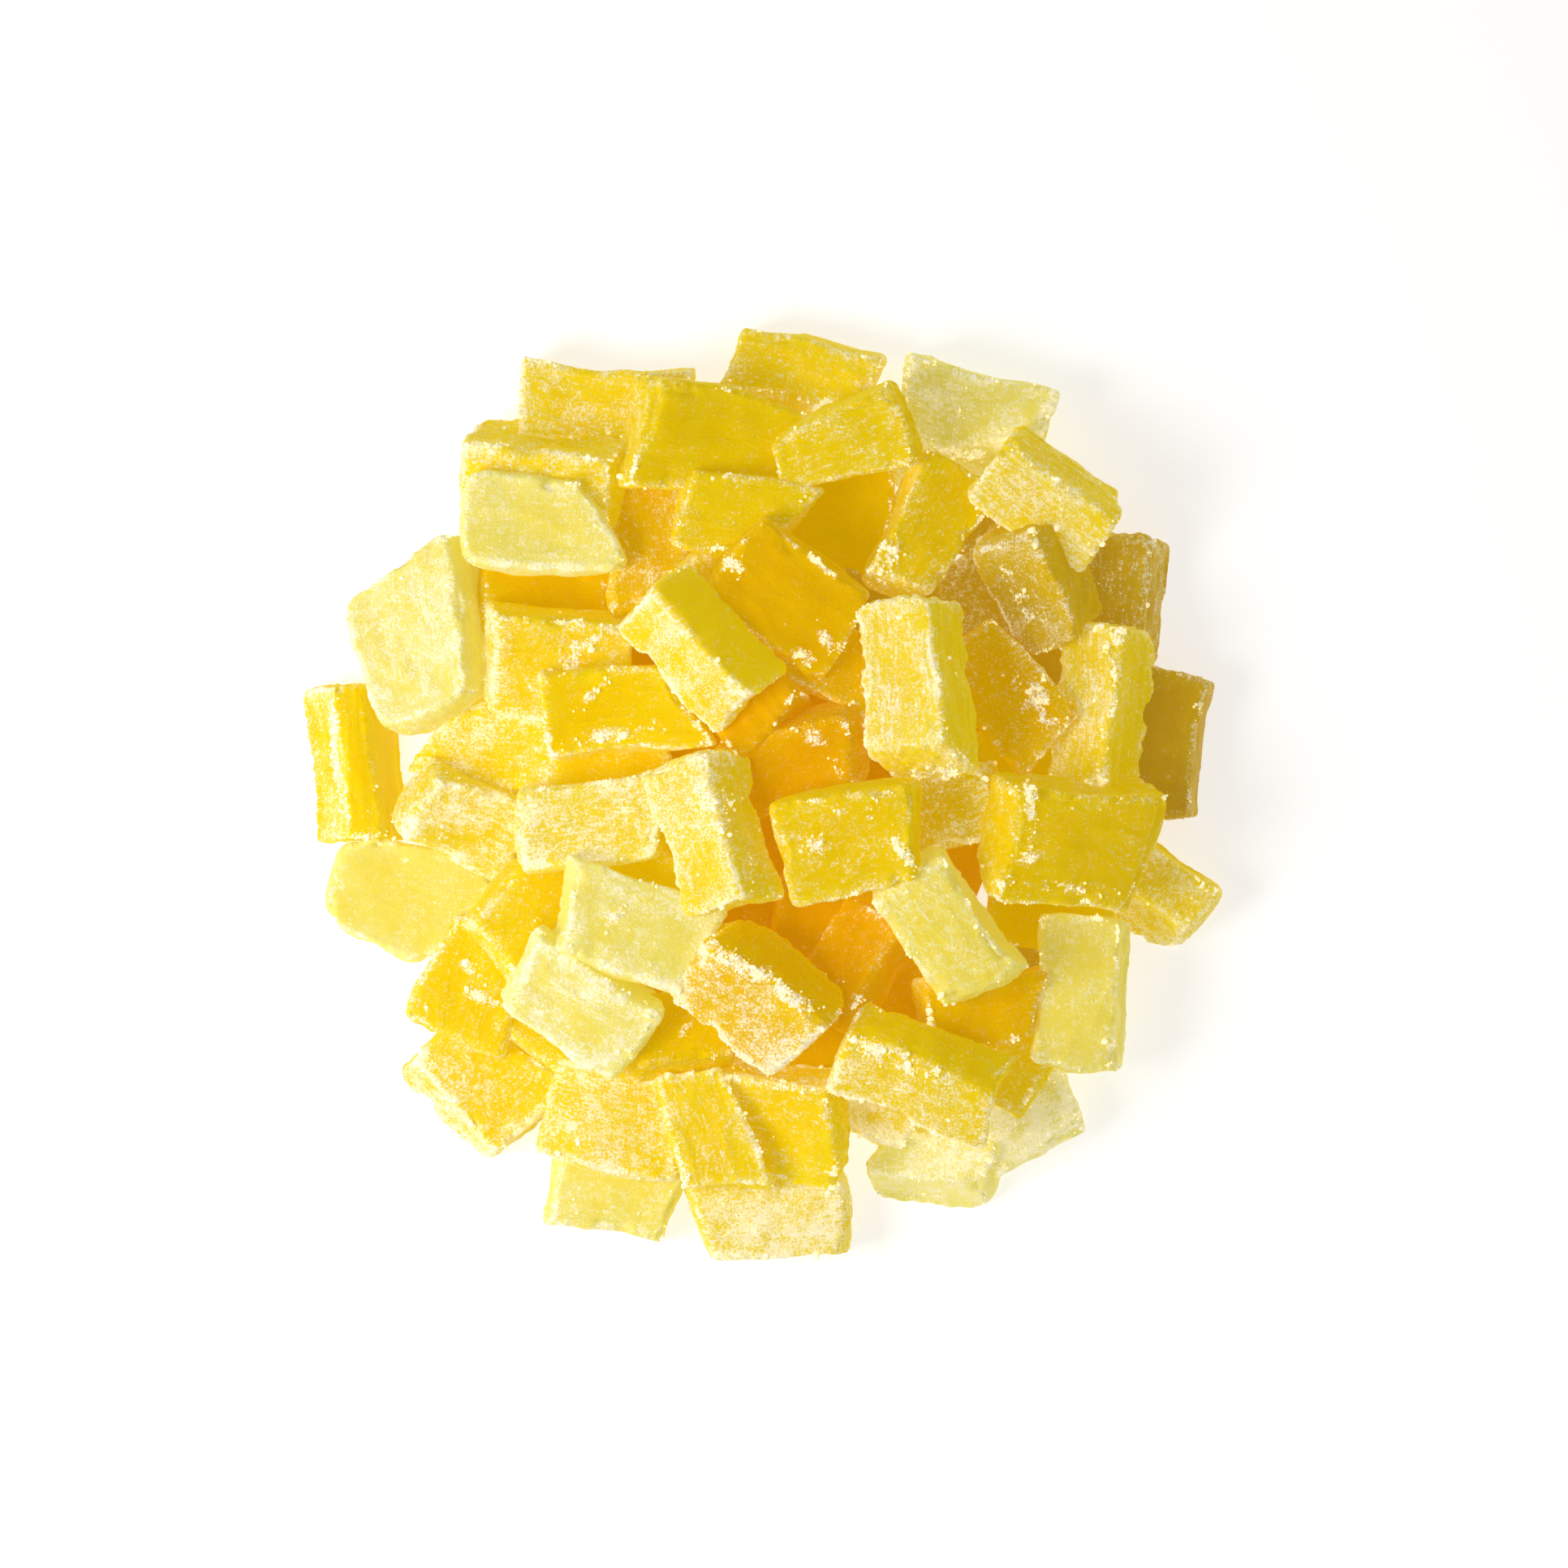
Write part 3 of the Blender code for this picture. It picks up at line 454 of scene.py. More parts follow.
LUMPS = Wave(5.0, 2)
DENTS = Wave(2.0, 3)
SEAMS = Wave((9.0, 2.8, 2.8), 17)
FIBRES = Wave((5.0, 0.7, 0.7), 1)
CHIPS = Wave(3.4, 6)
TEARS = (Wave(0.6, 4), Wave(0.45, 5, 0.5))
PATCHY_DUST = (Wave(2.6, 7, 0.4), Wave(1.1, 8, 0.25))
DUSTY_RIM = Wave(2.6, 16)
CRUMBLY_RIM = (Wave(1.1, 9, 1.1), Wave(2.6, 15, 0.7))
RAGGED_PATCH = (Wave(0.45, 21, 0.6), Wave(2.0, 22, 0.7))
GRIT = Wave(0.45, 10, 0.5)
FIBROUS = Wave(5.0, 18)
TONES = Wave(5.0, 11, 0.18)
CORE_LUMPS = (Wave(5.0, 12), Wave(2.0, 13, 0.5))
WARP_SPANS = (8.5, 2.8)
WARP_SEED = 31


def hashed(cells, seed):
    """A number from -1 to 1 for each cell of a grid, which looks random and is always the same."""
    mixed = np.bitwise_xor.reduce(cells * SCRAMBLE, axis=-1) ^ (seed * SEED_STEP)
    for shift in SHIFTS:
        mixed = ((mixed ^ (mixed >> shift)) * STIR) & WORD
    return mixed / (WORD / 2) - 1


def noise(points, seed):
    """Smooth bumps about 1 across and from -1 to 1 high."""
    cells = np.floor(points).astype(np.int64)
    share = points - cells
    ease = share * share * (3 - 2 * share)
    total = np.zeros(len(points))
    for corner in itertools.product((0, 1), repeat=3):
        weight = np.where(corner, ease, 1 - ease).prod(axis=1)
        total += weight * hashed(cells + corner, seed)
    return total


def waves(points, *layers, start=0):
    """The sum of some layers of noise, on top of a start."""
    return sum((layer.share * noise(points / layer.span, layer.seed) for layer in layers), start)


def triangles_of(mesh):
    """The points and triangles of a bmesh, which is then freed."""
    bmesh.ops.triangulate(mesh, faces=mesh.faces[:])
    mesh.verts.index_update()
    points = np.array([corner.co for corner in mesh.verts])
    faces = np.array([[corner.index for corner in face.verts] for face in mesh.faces])
    mesh.free()
    return points, faces


def block_mesh(die):
    """The die as in the solid, before it is turned: a block with blunt edges, cut to its own shape."""
    mesh = bmesh.new()
    bmesh.ops.create_cube(mesh, size=1.0)
    bmesh.ops.scale(mesh, vec=die.size, verts=mesh.verts)
    bmesh.ops.bevel(mesh, geom=mesh.edges[:], offset=EDGE, segments=1, affect="EDGES")
    everything = mesh.verts[:] + mesh.edges[:] + mesh.faces[:]
    bmesh.ops.bisect_plane(mesh, geom=everything, plane_co=(0, 0, 0), plane_no=(1, 0, 0))
    points, faces = triangles_of(mesh)
    return shaped(die, points), faces


def shaped(die, points):
    """A block's points with the die's waist, taper, slanted ends and sloping sides."""
    draw = random.Random(die.name)
    waist = draw.uniform(*WAIST)
    belly = draw.uniform(*WAIST)
    x, y, z = points.T
    along, across, up = (2 * points / np.array(die.size)).T
    hollow = 1 - along**2
    share = (1 + up) / 2
    front, back, left, right = die.banks
    y = y * (1 + waist * hollow) * (1 + die.taper * along)
    y = y + share * (front * (1 - across) - back * (1 + across)) / 2
    x = x + share * (left * (1 - along) - right * (1 + along)) / 2
    slants = np.tan(np.radians(die.cuts))
    x = x + y * np.abs(along) * np.where(along < 0, slants[0], slants[1])
    z = z * (1 + belly * hollow)
    return np.stack([x, y, z], axis=1)


def core_mesh():
    """The hidden core of the solid: a low mound of rings."""
    mesh = bmesh.new()
    rings = []
    for share, height in CORE_RINGS:
        ring = []
        for side in range(CORE_SIDES):
            bearing = math.tau * side / CORE_SIDES
            reach = CORE_RADIUS * share
            place = (reach * math.cos(bearing), reach * math.sin(bearing), CORE_HEIGHT * height)
            ring.append(mesh.verts.new(place))
        rings.append(ring)
    rings.append([mesh.verts.new((corner.co.x, corner.co.y, -SINK)) for corner in rings[-1]])
    top = mesh.verts.new((0, 0, CORE_HEIGHT))
    for side in range(CORE_SIDES):
        after = (side + 1) % CORE_SIDES
        mesh.faces.new((top, rings[0][side], rings[0][after]))
        for inner, outer in zip(rings, rings[1:]):
            mesh.faces.new((inner[side], outer[side], outer[after], inner[after]))
    mesh.faces.new(rings[-1][::-1])
    return triangles_of(mesh)


class Ground:
    """The heights laid so far, on a square grid."""

    def __init__(self):
        self.line = np.arange(-GRID_HALF, GRID_HALF + GRID_STEP / 2, GRID_STEP)
        self.heights = np.zeros((len(self.line), len(self.line)))

    def cells(self, points, faces):
        """The grid cells that each triangle covers, with its height there."""
        for corners in points[faces]:
            first = np.ceil((corners[:, :2].min(axis=0) + GRID_HALF) / GRID_STEP).astype(int)
            last = np.floor((corners[:, :2].max(axis=0) + GRID_HALF) / GRID_STEP).astype(int)
            (ax, ay, az), (bx, by, bz), (cx, cy, cz) = corners
            area = (bx - ax) * (cy - ay) - (cx - ax) * (by - ay)
            if (first > last).any() or abs(area) < THIN:
                continue
            rows, columns = np.mgrid[first[0] : last[0] + 1, first[1] : last[1] + 1].reshape(2, -1)
            east = self.line[rows] - ax
            north = self.line[columns] - ay
            of_b = (east * (cy - ay) - (cx - ax) * north) / area
            of_c = ((bx - ax) * north - east * (by - ay)) / area
            inside = (of_b >= 0) & (of_c >= 0) & (of_b + of_c <= 1)
            height = az + of_b * (bz - az) + of_c * (cz - az)
            yield rows[inside], columns[inside], height[inside]

    def add(self, points, faces):
        """Raises the heights to a shape's top."""
        for rows, columns, height in self.cells(points, faces):
            np.maximum.at(self.heights, (rows, columns), height)

    def underside(self, points, faces):
        """The lowest height of a shape over each cell, and infinity beside it."""
        lowest = np.full_like(self.heights, np.inf)
        for rows, columns, height in self.cells(points, faces):
            np.minimum.at(lowest, (rows, columns), height)
        return lowest

    def slope(self, points, faces, at, most):
        """The slope, east and north, at which a flat shape's middle lies lowest on heights up to most."""
        rows, columns = np.nonzero(np.isfinite(self.underside(points, faces)))
        east = self.line[rows] - at[0]
        north = self.line[columns] - at[1]
        height = np.minimum(self.heights[rows, columns], most)
        best = np.zeros(2)
        span = STEEPEST
        for _ in range(TIP_ROUNDS):
            steps = np.linspace(-span, span, TIP_TRIALS)
            trials = best + np.stack(np.meshgrid(steps, steps), axis=-1).reshape(-1, 2)
            trials = np.clip(trials, -STEEPEST, STEEPEST)
            clear = height - trials[:, :1] * east - trials[:, 1:] * north
            middle = clear.max(axis=1) + TIP_COST * np.hypot(*trials.T)
            best = trials[middle.argmin()]
            span /= 2
        return best

    def under(self, points):
        """The height of the heap at each point."""
        cells = np.round((points[:, :2] + GRID_HALF) / GRID_STEP).astype(int)
        return self.heights[cells[:, 0], cells[:, 1]]


class Resting(NamedTuple):
    """A die with the turn and the place that it has come to rest in."""

    die: Die
    turned: np.ndarray
    place: np.ndarray


@functools.cache
def laid_heap():
    """The dice at rest, the ground with their heights, and the middle that the solid is centred on."""
    ground = Ground()
    ground.add(*core_mesh())
    resting = []
    corners = []
    for die in sorted(DICE, key=lambda die: die.layer):
        points, faces = block_mesh(die)
        middle = FIRST_MIDDLE + LAYER * (die.layer - 1)
        flat = Euler((0, 0, math.radians(die.turn))).to_matrix()
        touching = points * (TOUCHING_SHARE, TOUCHING_SHARE, 1)
        if die.roll is None:
            footprint = touching @ np.array(flat).T + (*die.at, 0)
            rise = ground.slope(footprint, faces, die.at, middle - die.size[2] / 2 + GIVE)
            normal = Vector((-rise[0], -rise[1], 1))
            turned = np.array(Vector((0, 0, 1)).rotation_difference(normal).to_matrix() @ flat)
        else:
            lean = Euler((math.radians(die.roll), -math.radians(die.pitch), 0)).to_matrix()
            turned = np.array(flat @ lean)
        lowest = ground.underside(touching @ turned.T + (*die.at, 0), faces)
        drop = (ground.heights - lowest)[np.isfinite(lowest)].max() - SINK
        place = np.array((*die.at, min(drop, middle)))
        points = points @ turned.T + place
        ground.add(points, faces)
        corners.append(points[:, :2])
        resting.append(Resting(die, turned, place))
    corners = np.concatenate(corners)
    middle = np.array((*(corners.min(axis=0) + corners.max(axis=0)) / 2, 0))
    for die in LOW_DICE:
        turned = np.array(Euler((0, 0, math.radians(die.turn))).to_matrix())
        resting.append(Resting(die, turned, np.array((*die.at, die.size[2] / 2))))
    return resting, ground, middle


def skin_of_block(size, spacing, radius):
    """A rounded block's points, where each one lies on a cube from -1 to 1, and its quads facing out."""
    counts = np.round(np.array(size) / spacing).astype(int)
    ranges = [np.arange(count + 1) for count in counts]
    steps = np.stack(np.meshgrid(*ranges, indexing="ij"), axis=-1)
    on_skin = ((steps == 0) | (steps == counts)).any(axis=-1)
    index = np.full(on_skin.shape, -1)
    index[on_skin] = np.arange(on_skin.sum())
    cube = 2 * steps[on_skin] / counts - 1
    cube = (1 - CROWDING) * cube + CROWDING * np.sin(cube * math.pi / 2)
    quads = []
    for axis, end in itertools.product(range(3), (0, -1)):
        sheet = np.take(index, end, axis=axis)
        ring = np.stack([sheet[:-1, :-1], sheet[1:, :-1], sheet[1:, 1:], sheet[:-1, 1:]], axis=-1)
        ring = ring.reshape(-1, 4)
        faces_out = (end == -1) != (axis == 1)
        quads.append(ring if faces_out else ring[:, ::-1])
    half = np.array(size) / 2
    inner = half - radius
    points = cube * half
    nearest = np.clip(points, -inner, inner)
    outward = points - nearest
    points = nearest + radius * outward / np.linalg.norm(outward, axis=1, keepdims=True)
    return points, cube, np.concatenate(quads)


def normals_of(points, quads):
    """The normal at each point of a closed skin."""
    first, second, third, fourth = (points[quads[:, corner]] for corner in range(4))
    facing = np.cross(third - first, fourth - second)
    normals = np.zeros_like(points)
    for corner in range(4):
        np.add.at(normals, quads[:, corner], facing)
    return normals / np.linalg.norm(normals, axis=1, keepdims=True)


def chipped(points, own, size, deepest):
    """A rounded block's points with flat chips cut off its edges here and there."""
    gaps = np.array(size) / 2 - np.abs(points)
    outward = np.sign(points) * np.exp(-((gaps / CHIP_REACH) ** 2))
    outward /= np.linalg.norm(outward, axis=1, keepdims=True)
    below_edge = np.sort(gaps, axis=1)[:, :2].sum(axis=1) / math.sqrt(2)
    chips = deepest * np.maximum(waves(own, CHIPS) - CHIP_START, 0)
    return points - outward * np.maximum(chips - below_edge, 0)[:, None]


def warped(points, own, depths):
    """The points moved by broad and then by finer waves, so that no edge stays straight."""
    moved = points
    for row, (span, depth) in enumerate(zip(WARP_SPANS, depths)):
        shifts = [noise(own / span, WARP_SEED + 3 * row + axis) for axis in range(3)]
        moved = moved + depth * np.stack(shifts, axis=1)
    return moved


def pulled_in(points, cube, pulls):
    """The points with the block's edges drawn in, those along X, Y and Z by their own shares."""
    nearness = np.abs(cube) ** PULL_POWER
    for axis, pull in enumerate(pulls):
        beside = [other for other in range(3) if other != axis]
        points = points.copy()
        points[:, beside] *= (1 - pull * nearness[:, beside].prod(axis=1))[:, None]
    return points


def rim_of(die, cube, reach):
    """How near each point is to one of the die's edges, from 0 to 1."""
    gaps = np.sort((1 - np.abs(cube)) * np.array(die.size) / 2, axis=1)
    return np.exp(-((gaps[:, 1] / reach) ** 2))


def dust_from_sides(look, normals):
    """Fine sugar by the side that each point faces, partly real sugar and partly painted light on the sides
    facing west and painted shade on those facing east. What faces down is bare.
    """
    east, north, up = normals.T
    facing = np.stack([up, north, east, -north, -east], axis=1)
    weights = np.maximum(facing, 0) ** 2
    return weights @ np.array(look.dust)


def patches_on(die, points, normals, own):
    """How thickly the die's patches of sugar cover each point, from 0 to 1."""
    cover = np.zeros(len(points))
    ragged = waves(own, *RAGGED_PATCH, start=RAGGED_PATCH_LEVEL)
    for patch in PATCHES:
        if patch.die != die.name:
            continue
        bearing = math.radians(patch.turn)
        offset = points[:, :2] - patch.at
        along = offset @ (math.cos(bearing), math.sin(bearing)) / patch.reach[0]
        across = offset @ (-math.sin(bearing), math.cos(bearing)) / patch.reach[1]
        spread = np.exp(-(along**2 + across**2) / PATCH_SPREAD) * patch.weight
        cover = np.maximum(cover, spread * ragged)
    return np.clip(cover, 0, 1) * np.clip(PATCH_SLOPE * normals[:, 2], 0, 1)


def hollow_of(cube, dishes):
    """How deep each point lies in the hollow of its side. Edges lie on two sides, and in no hollow."""
    on_face = np.abs(cube) >= 1
    sides = np.where(cube > 0, 1, 0) + 2 * np.arange(3)
    bowl = np.prod(np.where(on_face, 1, 1 - cube**2), axis=1) * (on_face.sum(axis=1) == 1)
    return (dishes[sides] * on_face).sum(axis=1) * bowl


def sugar_on(look, own, normals, rim, thin, patches):
    """How thickly the fine sugar and the crust cover each point, from 0 to 1."""
    dust = DUST_SHARE * dust_from_sides(look, normals)
    dust *= waves(own, *PATCHY_DUST, start=1)
    # The extra sugar where the flesh is thin also paints light through the thin rim
    edging = RIM_DUST * rim + THIN_DUST_AND_PAINTED_LIGHT * thin
    dust = np.clip(dust + edging * np.clip(waves(own, DUSTY_RIM, start=DUSTY_RIM_LEVEL), 0, 1), 0, 1)
    on_crest = SHELTERED + (1 - SHELTERED) * np.clip(SHELTERED_SLOPE * normals[:, 2], 0, 1)
    crumbly = np.clip(waves(own, *CRUMBLY_RIM) - CRUMBLY_START, 0, 1)
    crust = np.clip(RIM_CRUST * on_crest * rim * crumbly + patches, 0, 1)
    return dust, crust


class Skin(NamedTuple):
    """A finished surface: where its points lie, and what its material reads at each point."""

    points: np.ndarray
    faces: np.ndarray
    own_place: np.ndarray
    dust: np.ndarray
    crust: np.ndarray
    fibrous: np.ndarray
    tone: np.ndarray


SKIN_NUMBERS = ("dust", "crust", "fibrous", "tone")


def finished_die(resting, dice):
    """One die with its faces dished, its fibres raised, its edges torn and its sugar laid on."""
    die = resting.die
    look = LOOKS[die.name]
    draw = random.Random(die.name + " surface")
    hidden = die.name.endswith(("gap", "deep"))
    spacing = (dice.hidden_spacing if hidden else dice.spacing) / MM
    rounding = draw.uniform(*ROUNDING) * dice.edge_radius / MM
    block, cube, quads = skin_of_block(die.size, spacing, rounding)
    pulls = np.array([draw.uniform(*PULL) for _ in range(3)]) + (0, 0, look.blunt)
    offset = [draw.uniform(*OWN_OFFSET) for _ in range(3)]
    block = chipped(block, block + offset, die.size, dice.chip_depth / MM)
    block = shaped(die, pulled_in(block, cube, pulls))
    own = block + offset
    block = warped(block, own, (dice.warp / MM, dice.wobble / MM))
    flat_normals = normals_of(block, quads)
    rim = rim_of(die, cube, RIM_REACH)
    thin = rim_of(die, cube, THIN_REACH)
    dishes = np.array([draw.uniform(*DISH) for _ in range(6)])

    dents = waves(own, DENTS)
    lift = dice.relief / MM * (waves(own, LUMPS) + DENT_SHARE * dents * np.abs(dents) ** DENT_POWER)
    lift += dice.swell / MM - hollow_of(cube, dishes)
    lift += dice.seam_depth / MM * np.maximum(1 - SEAM_NARROWING * np.abs(waves(own, SEAMS)), 0) ** 2
    lift += dice.fibre_depth / MM * look.fibre * waves(own, FIBRES) * (1 - rim)
    ends = np.abs(cube[:, 0]) ** END_POWER
    lift += dice.tear_depth / MM * waves(own, *TEARS) * np.maximum(rim, ends * look.fibre)

    normals = flat_normals @ resting.turned.T
    patches = patches_on(die, block @ resting.turned.T + resting.place, normals, own)
    dust, crust = sugar_on(look, own, normals, rim, thin, patches)
    lift += dice.crust_depth / MM * waves(own, GRIT, start=GRIT_LEVEL) * (DUST_LIFT * dust + crust)

    points = (block + flat_normals * lift[:, None]) @ resting.turned.T + resting.place
    low = points[:, 2] < SQUASH
    points[low, 2] = SQUASH * np.exp(points[low, 2] / SQUASH - 1)
    points[:, 2] -= SQUASH_DROP * np.exp(-points[:, 2])
    fibrous = look.fibre * np.clip(waves(own, FIBROUS, start=1), 0, 1)
    # Paler where the flesh is thin: painted light through the thin rim
    tone = np.clip(waves(own, TONES, start=look.tone) - THIN_PAINTED_PALENESS * thin, 0, 1)
    return Skin(points, quads, own, dust, crust, fibrous, tone)


def joined(skins):
    """Several skins as one."""
    starts = np.cumsum([0] + [len(skin.points) for skin in skins[:-1]])
    moved = [skin._replace(faces=skin.faces + start) for skin, start in zip(skins, starts)]
    return Skin(*(np.concatenate(part) for part in zip(*moved)))


def add_piece(name, points, faces):
    """A smooth-shaded piece of the heap, from points in millimetres in the layout's own place."""
    _, _, middle = laid_heap()
    data = bpy.data.meshes.new(name)
    data.from_pydata(((points - middle) * MM).tolist(), [], faces.tolist())
    data.shade_smooth()
    piece = bpy.data.objects.new(name, data)
    bpy.context.scene.collection.objects.link(piece)
    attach(piece, BODY)
    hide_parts(NODE)
    return piece


def add_skin(name, skin):
    """A piece that carries what its material reads at each point."""
    piece = add_piece(name, skin.points, skin.faces)
    place = piece.data.attributes.new("own_place", "FLOAT_VECTOR", "POINT")
    place.data.foreach_set("vector", skin.own_place.astype(np.float32).ravel())
    for field in SKIN_NUMBERS:
        number = piece.data.attributes.new(field, "FLOAT", "POINT")
        number.data.foreach_set("value", getattr(skin, field).astype(np.float32))
    return piece


class Shade:
    """A socket in a material's nodes, which is used in sums as a number is."""

    def __init__(self, nodes, socket):
        self.nodes = nodes
        self.socket = socket

    def math(self, operation, *values):
        return self.nodes.add("ShaderNodeMath", {"operation": operation}, dict(enumerate(values)))

    def __add__(self, other):
        return self.math("ADD", self, other)

    def __radd__(self, other):
        return self.math("ADD", other, self)

    def __sub__(self, other):
        return self.math("SUBTRACT", self, other)

    def __rsub__(self, other):
        return self.math("SUBTRACT", other, self)

    def __mul__(self, other):
        return self.math("MULTIPLY", self, other)

    def __rmul__(self, other):
        return self.math("MULTIPLY", other, self)

    def clamped(self):
        return self.nodes.add("ShaderNodeClamp", {}, {"Value": self})

    def stepped(self, start, end):
        """0 below start, 1 above end, and smooth between."""
        values = {"Value": self, "From Min": start, "From Max": end}
        return self.nodes.add("ShaderNodeMapRange", {"interpolation_type": "SMOOTHSTEP"}, values)


class Nodes:
    """The nodes of one material, which are added one by one."""

    def __init__(self, name):
        self.material = bpy.data.materials.new(name)
        self.material.use_nodes = True
        self.tree = self.material.node_tree
        self.surface = self.tree.nodes["Principled BSDF"]

    def add(self, kind, settings, values, output=0):
        """A node's output. The settings are set first, and then the values or links of its sockets."""
        node = self.tree.nodes.new(kind)
        for setting, value in settings.items():
            setattr(node, setting, value)
        self.fill(node, values)
        return Shade(self, node.outputs[output])

    def fill(self, node, values):
        for socket, value in values.items():
            if isinstance(value, Shade):
                self.tree.links.new(value.socket, node.inputs[socket])
            else:
                node.inputs[socket].default_value = value

    def attribute(self, name, output):
        return self.add("ShaderNodeAttribute", {"attribute_name": name}, {}, output)

    def noise(self, place, scale, detail=2.0, roughness=0.5, distortion=0.0):
        values = {
            "Vector": place,
            "Scale": scale,
            "Detail": detail,
            "Roughness": roughness,
            "Distortion": distortion,
        }
        return self.add("ShaderNodeTexNoise", {}, values)

    def stretched(self, place, stretch):
        return self.add("ShaderNodeVectorMath", {"operation": "MULTIPLY"}, {0: place, 1: stretch})

    def mix(self, share, first, second):
        """A colour between two, by a share from 0 to 1."""
        values = {"Factor": share, "A": first, "B": second}
        return self.add("ShaderNodeMix", {"data_type": "RGBA"}, values, "Result")

    def bump(self, height, distance, strength):
        return self.add("ShaderNodeBump", {}, {"Height": height, "Distance": distance, "Strength": strength})


# Scale, detail, roughness and distortion of the noise, for each millimetre of flesh or each metre of sugar
FIBRE_NOISE = (1.0, 4.0, 0.6, 0.5)
STRAND_NOISE = (2.6, 3.0, 0.7, 0.3)
CLOUD_NOISE = (0.28, 3.0, 0.5, 0.4)
FLECK_NOISE = (3.6, 4.0, 0.8)
CLUMP_NOISE = (1.1, 3.0, 0.6)
SUGAR_NOISE = (2500.0, 2.0)
FIBRE_STRETCH = (0.25, 1.7, 1.7)
STRAND_STRETCH = (0.12, 1.0, 1.0)
EVEN = 0.5  # what noise comes to on average

# How far each pattern counts in the depth of the flesh's colour, in each cover of sugar and in the relief
DEPTH_GRAIN = 0.8
DEPTH_CLOUDS = 1.2
DEPTH_FLECKS = 1.2
FILM_CLUMPS = 0.9
FILM_FLECKS = 1.5
FROST_FLECKS = 6.5
FROST_STREAKS = 3.6
FROST_CLUMPS = 2.0
FINE_DUST = 2.0
CRUST_FLECKS = 7.0
CRUST_CLUMPS = 1.5
RELIEF_STREAKS = 1.6
RELIEF_FLECKS = 1.2
RELIEF_CLUMPS = 0.5
RELIEF_FINE = 0.4
RELIEF_CRUST = 0.5

# What each cover of sugar needs to show, and the values from which it starts and is full
FINE_NEED = 1.34
SPECK_NEED = 1.8
CRUST_GAIN = 0.9
FILM_EDGE = (0.15, 0.9)
FINE_EDGE = (-0.5, 0.6)
SPECK_EDGE = (0.0, 0.25)
CRUST_EDGE = (0.35, 0.6)
MOTTLE_EDGE = (0.35, 0.7)

# Finish of the flesh and of the loose sugar
FINE_PAINTED_GLOW = 0.5  # painted glow of the fine flecks, as a share of the crust's
FLESH_ROUGHNESS = 0.34
FINE_ROUGHNESS = 0.3
FLESH_GLOW = (0.9, 0.9, 0.5)
FLESH_IOR = 1.42
FLESH_SPECULAR = 0.06
FLESH_BUMP = (0.3 * MM, 1.0)
SUGAR_ROUGHNESS = 0.5
MOTTLE_ROUGHNESS = 0.3
SUGAR_GLOW_SHARE = 0.4
SUGAR_GLOW = (1.0, 0.9, 0.7)
SUGAR_GLOW_DEPTH = 0.4 * MM
SUGAR_BUMP = (0.05 * MM, 0.5)


def flesh_material(kind, flesh):
    """Translucent fruit with fibres and a painted glow, under a film and grains of sugar."""
    pale, deep, film_colour = (getattr(flesh, f"{kind}_{part}") for part in ("pale", "deep", "film"))
    nodes = Nodes(f"{kind}_flesh")
    place = nodes.attribute("own_place", "Vector")
    dust, crust, fibrous, tone = (nodes.attribute(name, "Fac") for name in SKIN_NUMBERS)

    fibres = nodes.noise(nodes.stretched(place, FIBRE_STRETCH), *FIBRE_NOISE)
    strands = nodes.noise(nodes.stretched(place, STRAND_STRETCH), *STRAND_NOISE)
    grain = (fibres - EVEN) * fibrous
    streaks = (strands - EVEN) * fibrous
    clouds = nodes.noise(place, *CLOUD_NOISE) - EVEN
    high_flecks = nodes.noise(place, *FLECK_NOISE)
    high_clumps = nodes.noise(place, *CLUMP_NOISE)
    flecks = high_flecks - EVEN
    clumps = high_clumps - EVEN

    depth = (tone + grain * DEPTH_GRAIN + clouds * DEPTH_CLOUDS + flecks * DEPTH_FLECKS).clamped()
    film = (dust + clumps * FILM_CLUMPS + flecks * FILM_FLECKS).stepped(*FILM_EDGE) * flesh.film_share
    pattern = flecks * FROST_FLECKS + streaks * FROST_STREAKS + clumps * FROST_CLUMPS
    fine = (pattern + dust * FINE_DUST - FINE_NEED).stepped(*FINE_EDGE)
    specks = (pattern + dust - SPECK_NEED).stepped(*SPECK_EDGE)
    thick = (crust * (flecks * CRUST_FLECKS + clumps * CRUST_CLUMPS + CRUST_GAIN)).stepped(*CRUST_EDGE)
    cover = (thick + specks).clamped() * flesh.sugar_share

    filmed = nodes.mix(film, nodes.mix(depth, pale, deep), film_colour)
    frosted = nodes.mix(fine * flesh.fleck_share, filmed, flesh.frost_colour)
    relief = grain + streaks * RELIEF_STREAKS + high_flecks * RELIEF_FLECKS + high_clumps * RELIEF_CLUMPS
    relief = relief + fine * RELIEF_FINE + (cover + thick * high_flecks) * RELIEF_CRUST
    values = {
        "Base Color": nodes.mix(cover, frosted, flesh.sugar_colour),
        "Roughness": FLESH_ROUGHNESS + fine * FINE_ROUGHNESS,
        "Subsurface Weight": flesh.glow,
        "Subsurface Radius": FLESH_GLOW,
        "Subsurface Scale": flesh.glow_depth,
        "IOR": FLESH_IOR,
        "Specular IOR Level": FLESH_SPECULAR,
        # Painted glow: the deep flesh colour and the warm sugar colour are given out as light, filling the
        # shade on the sides and in the gaps
        "Emission Color": nodes.mix((fine * FINE_PAINTED_GLOW + cover).clamped(), deep, flesh.sugar_painted_glow),
        "Emission Strength": flesh.painted_glow,
        "Normal": nodes.bump(relief, *FLESH_BUMP),
    }
    nodes.fill(nodes.surface, values)
    return nodes.material


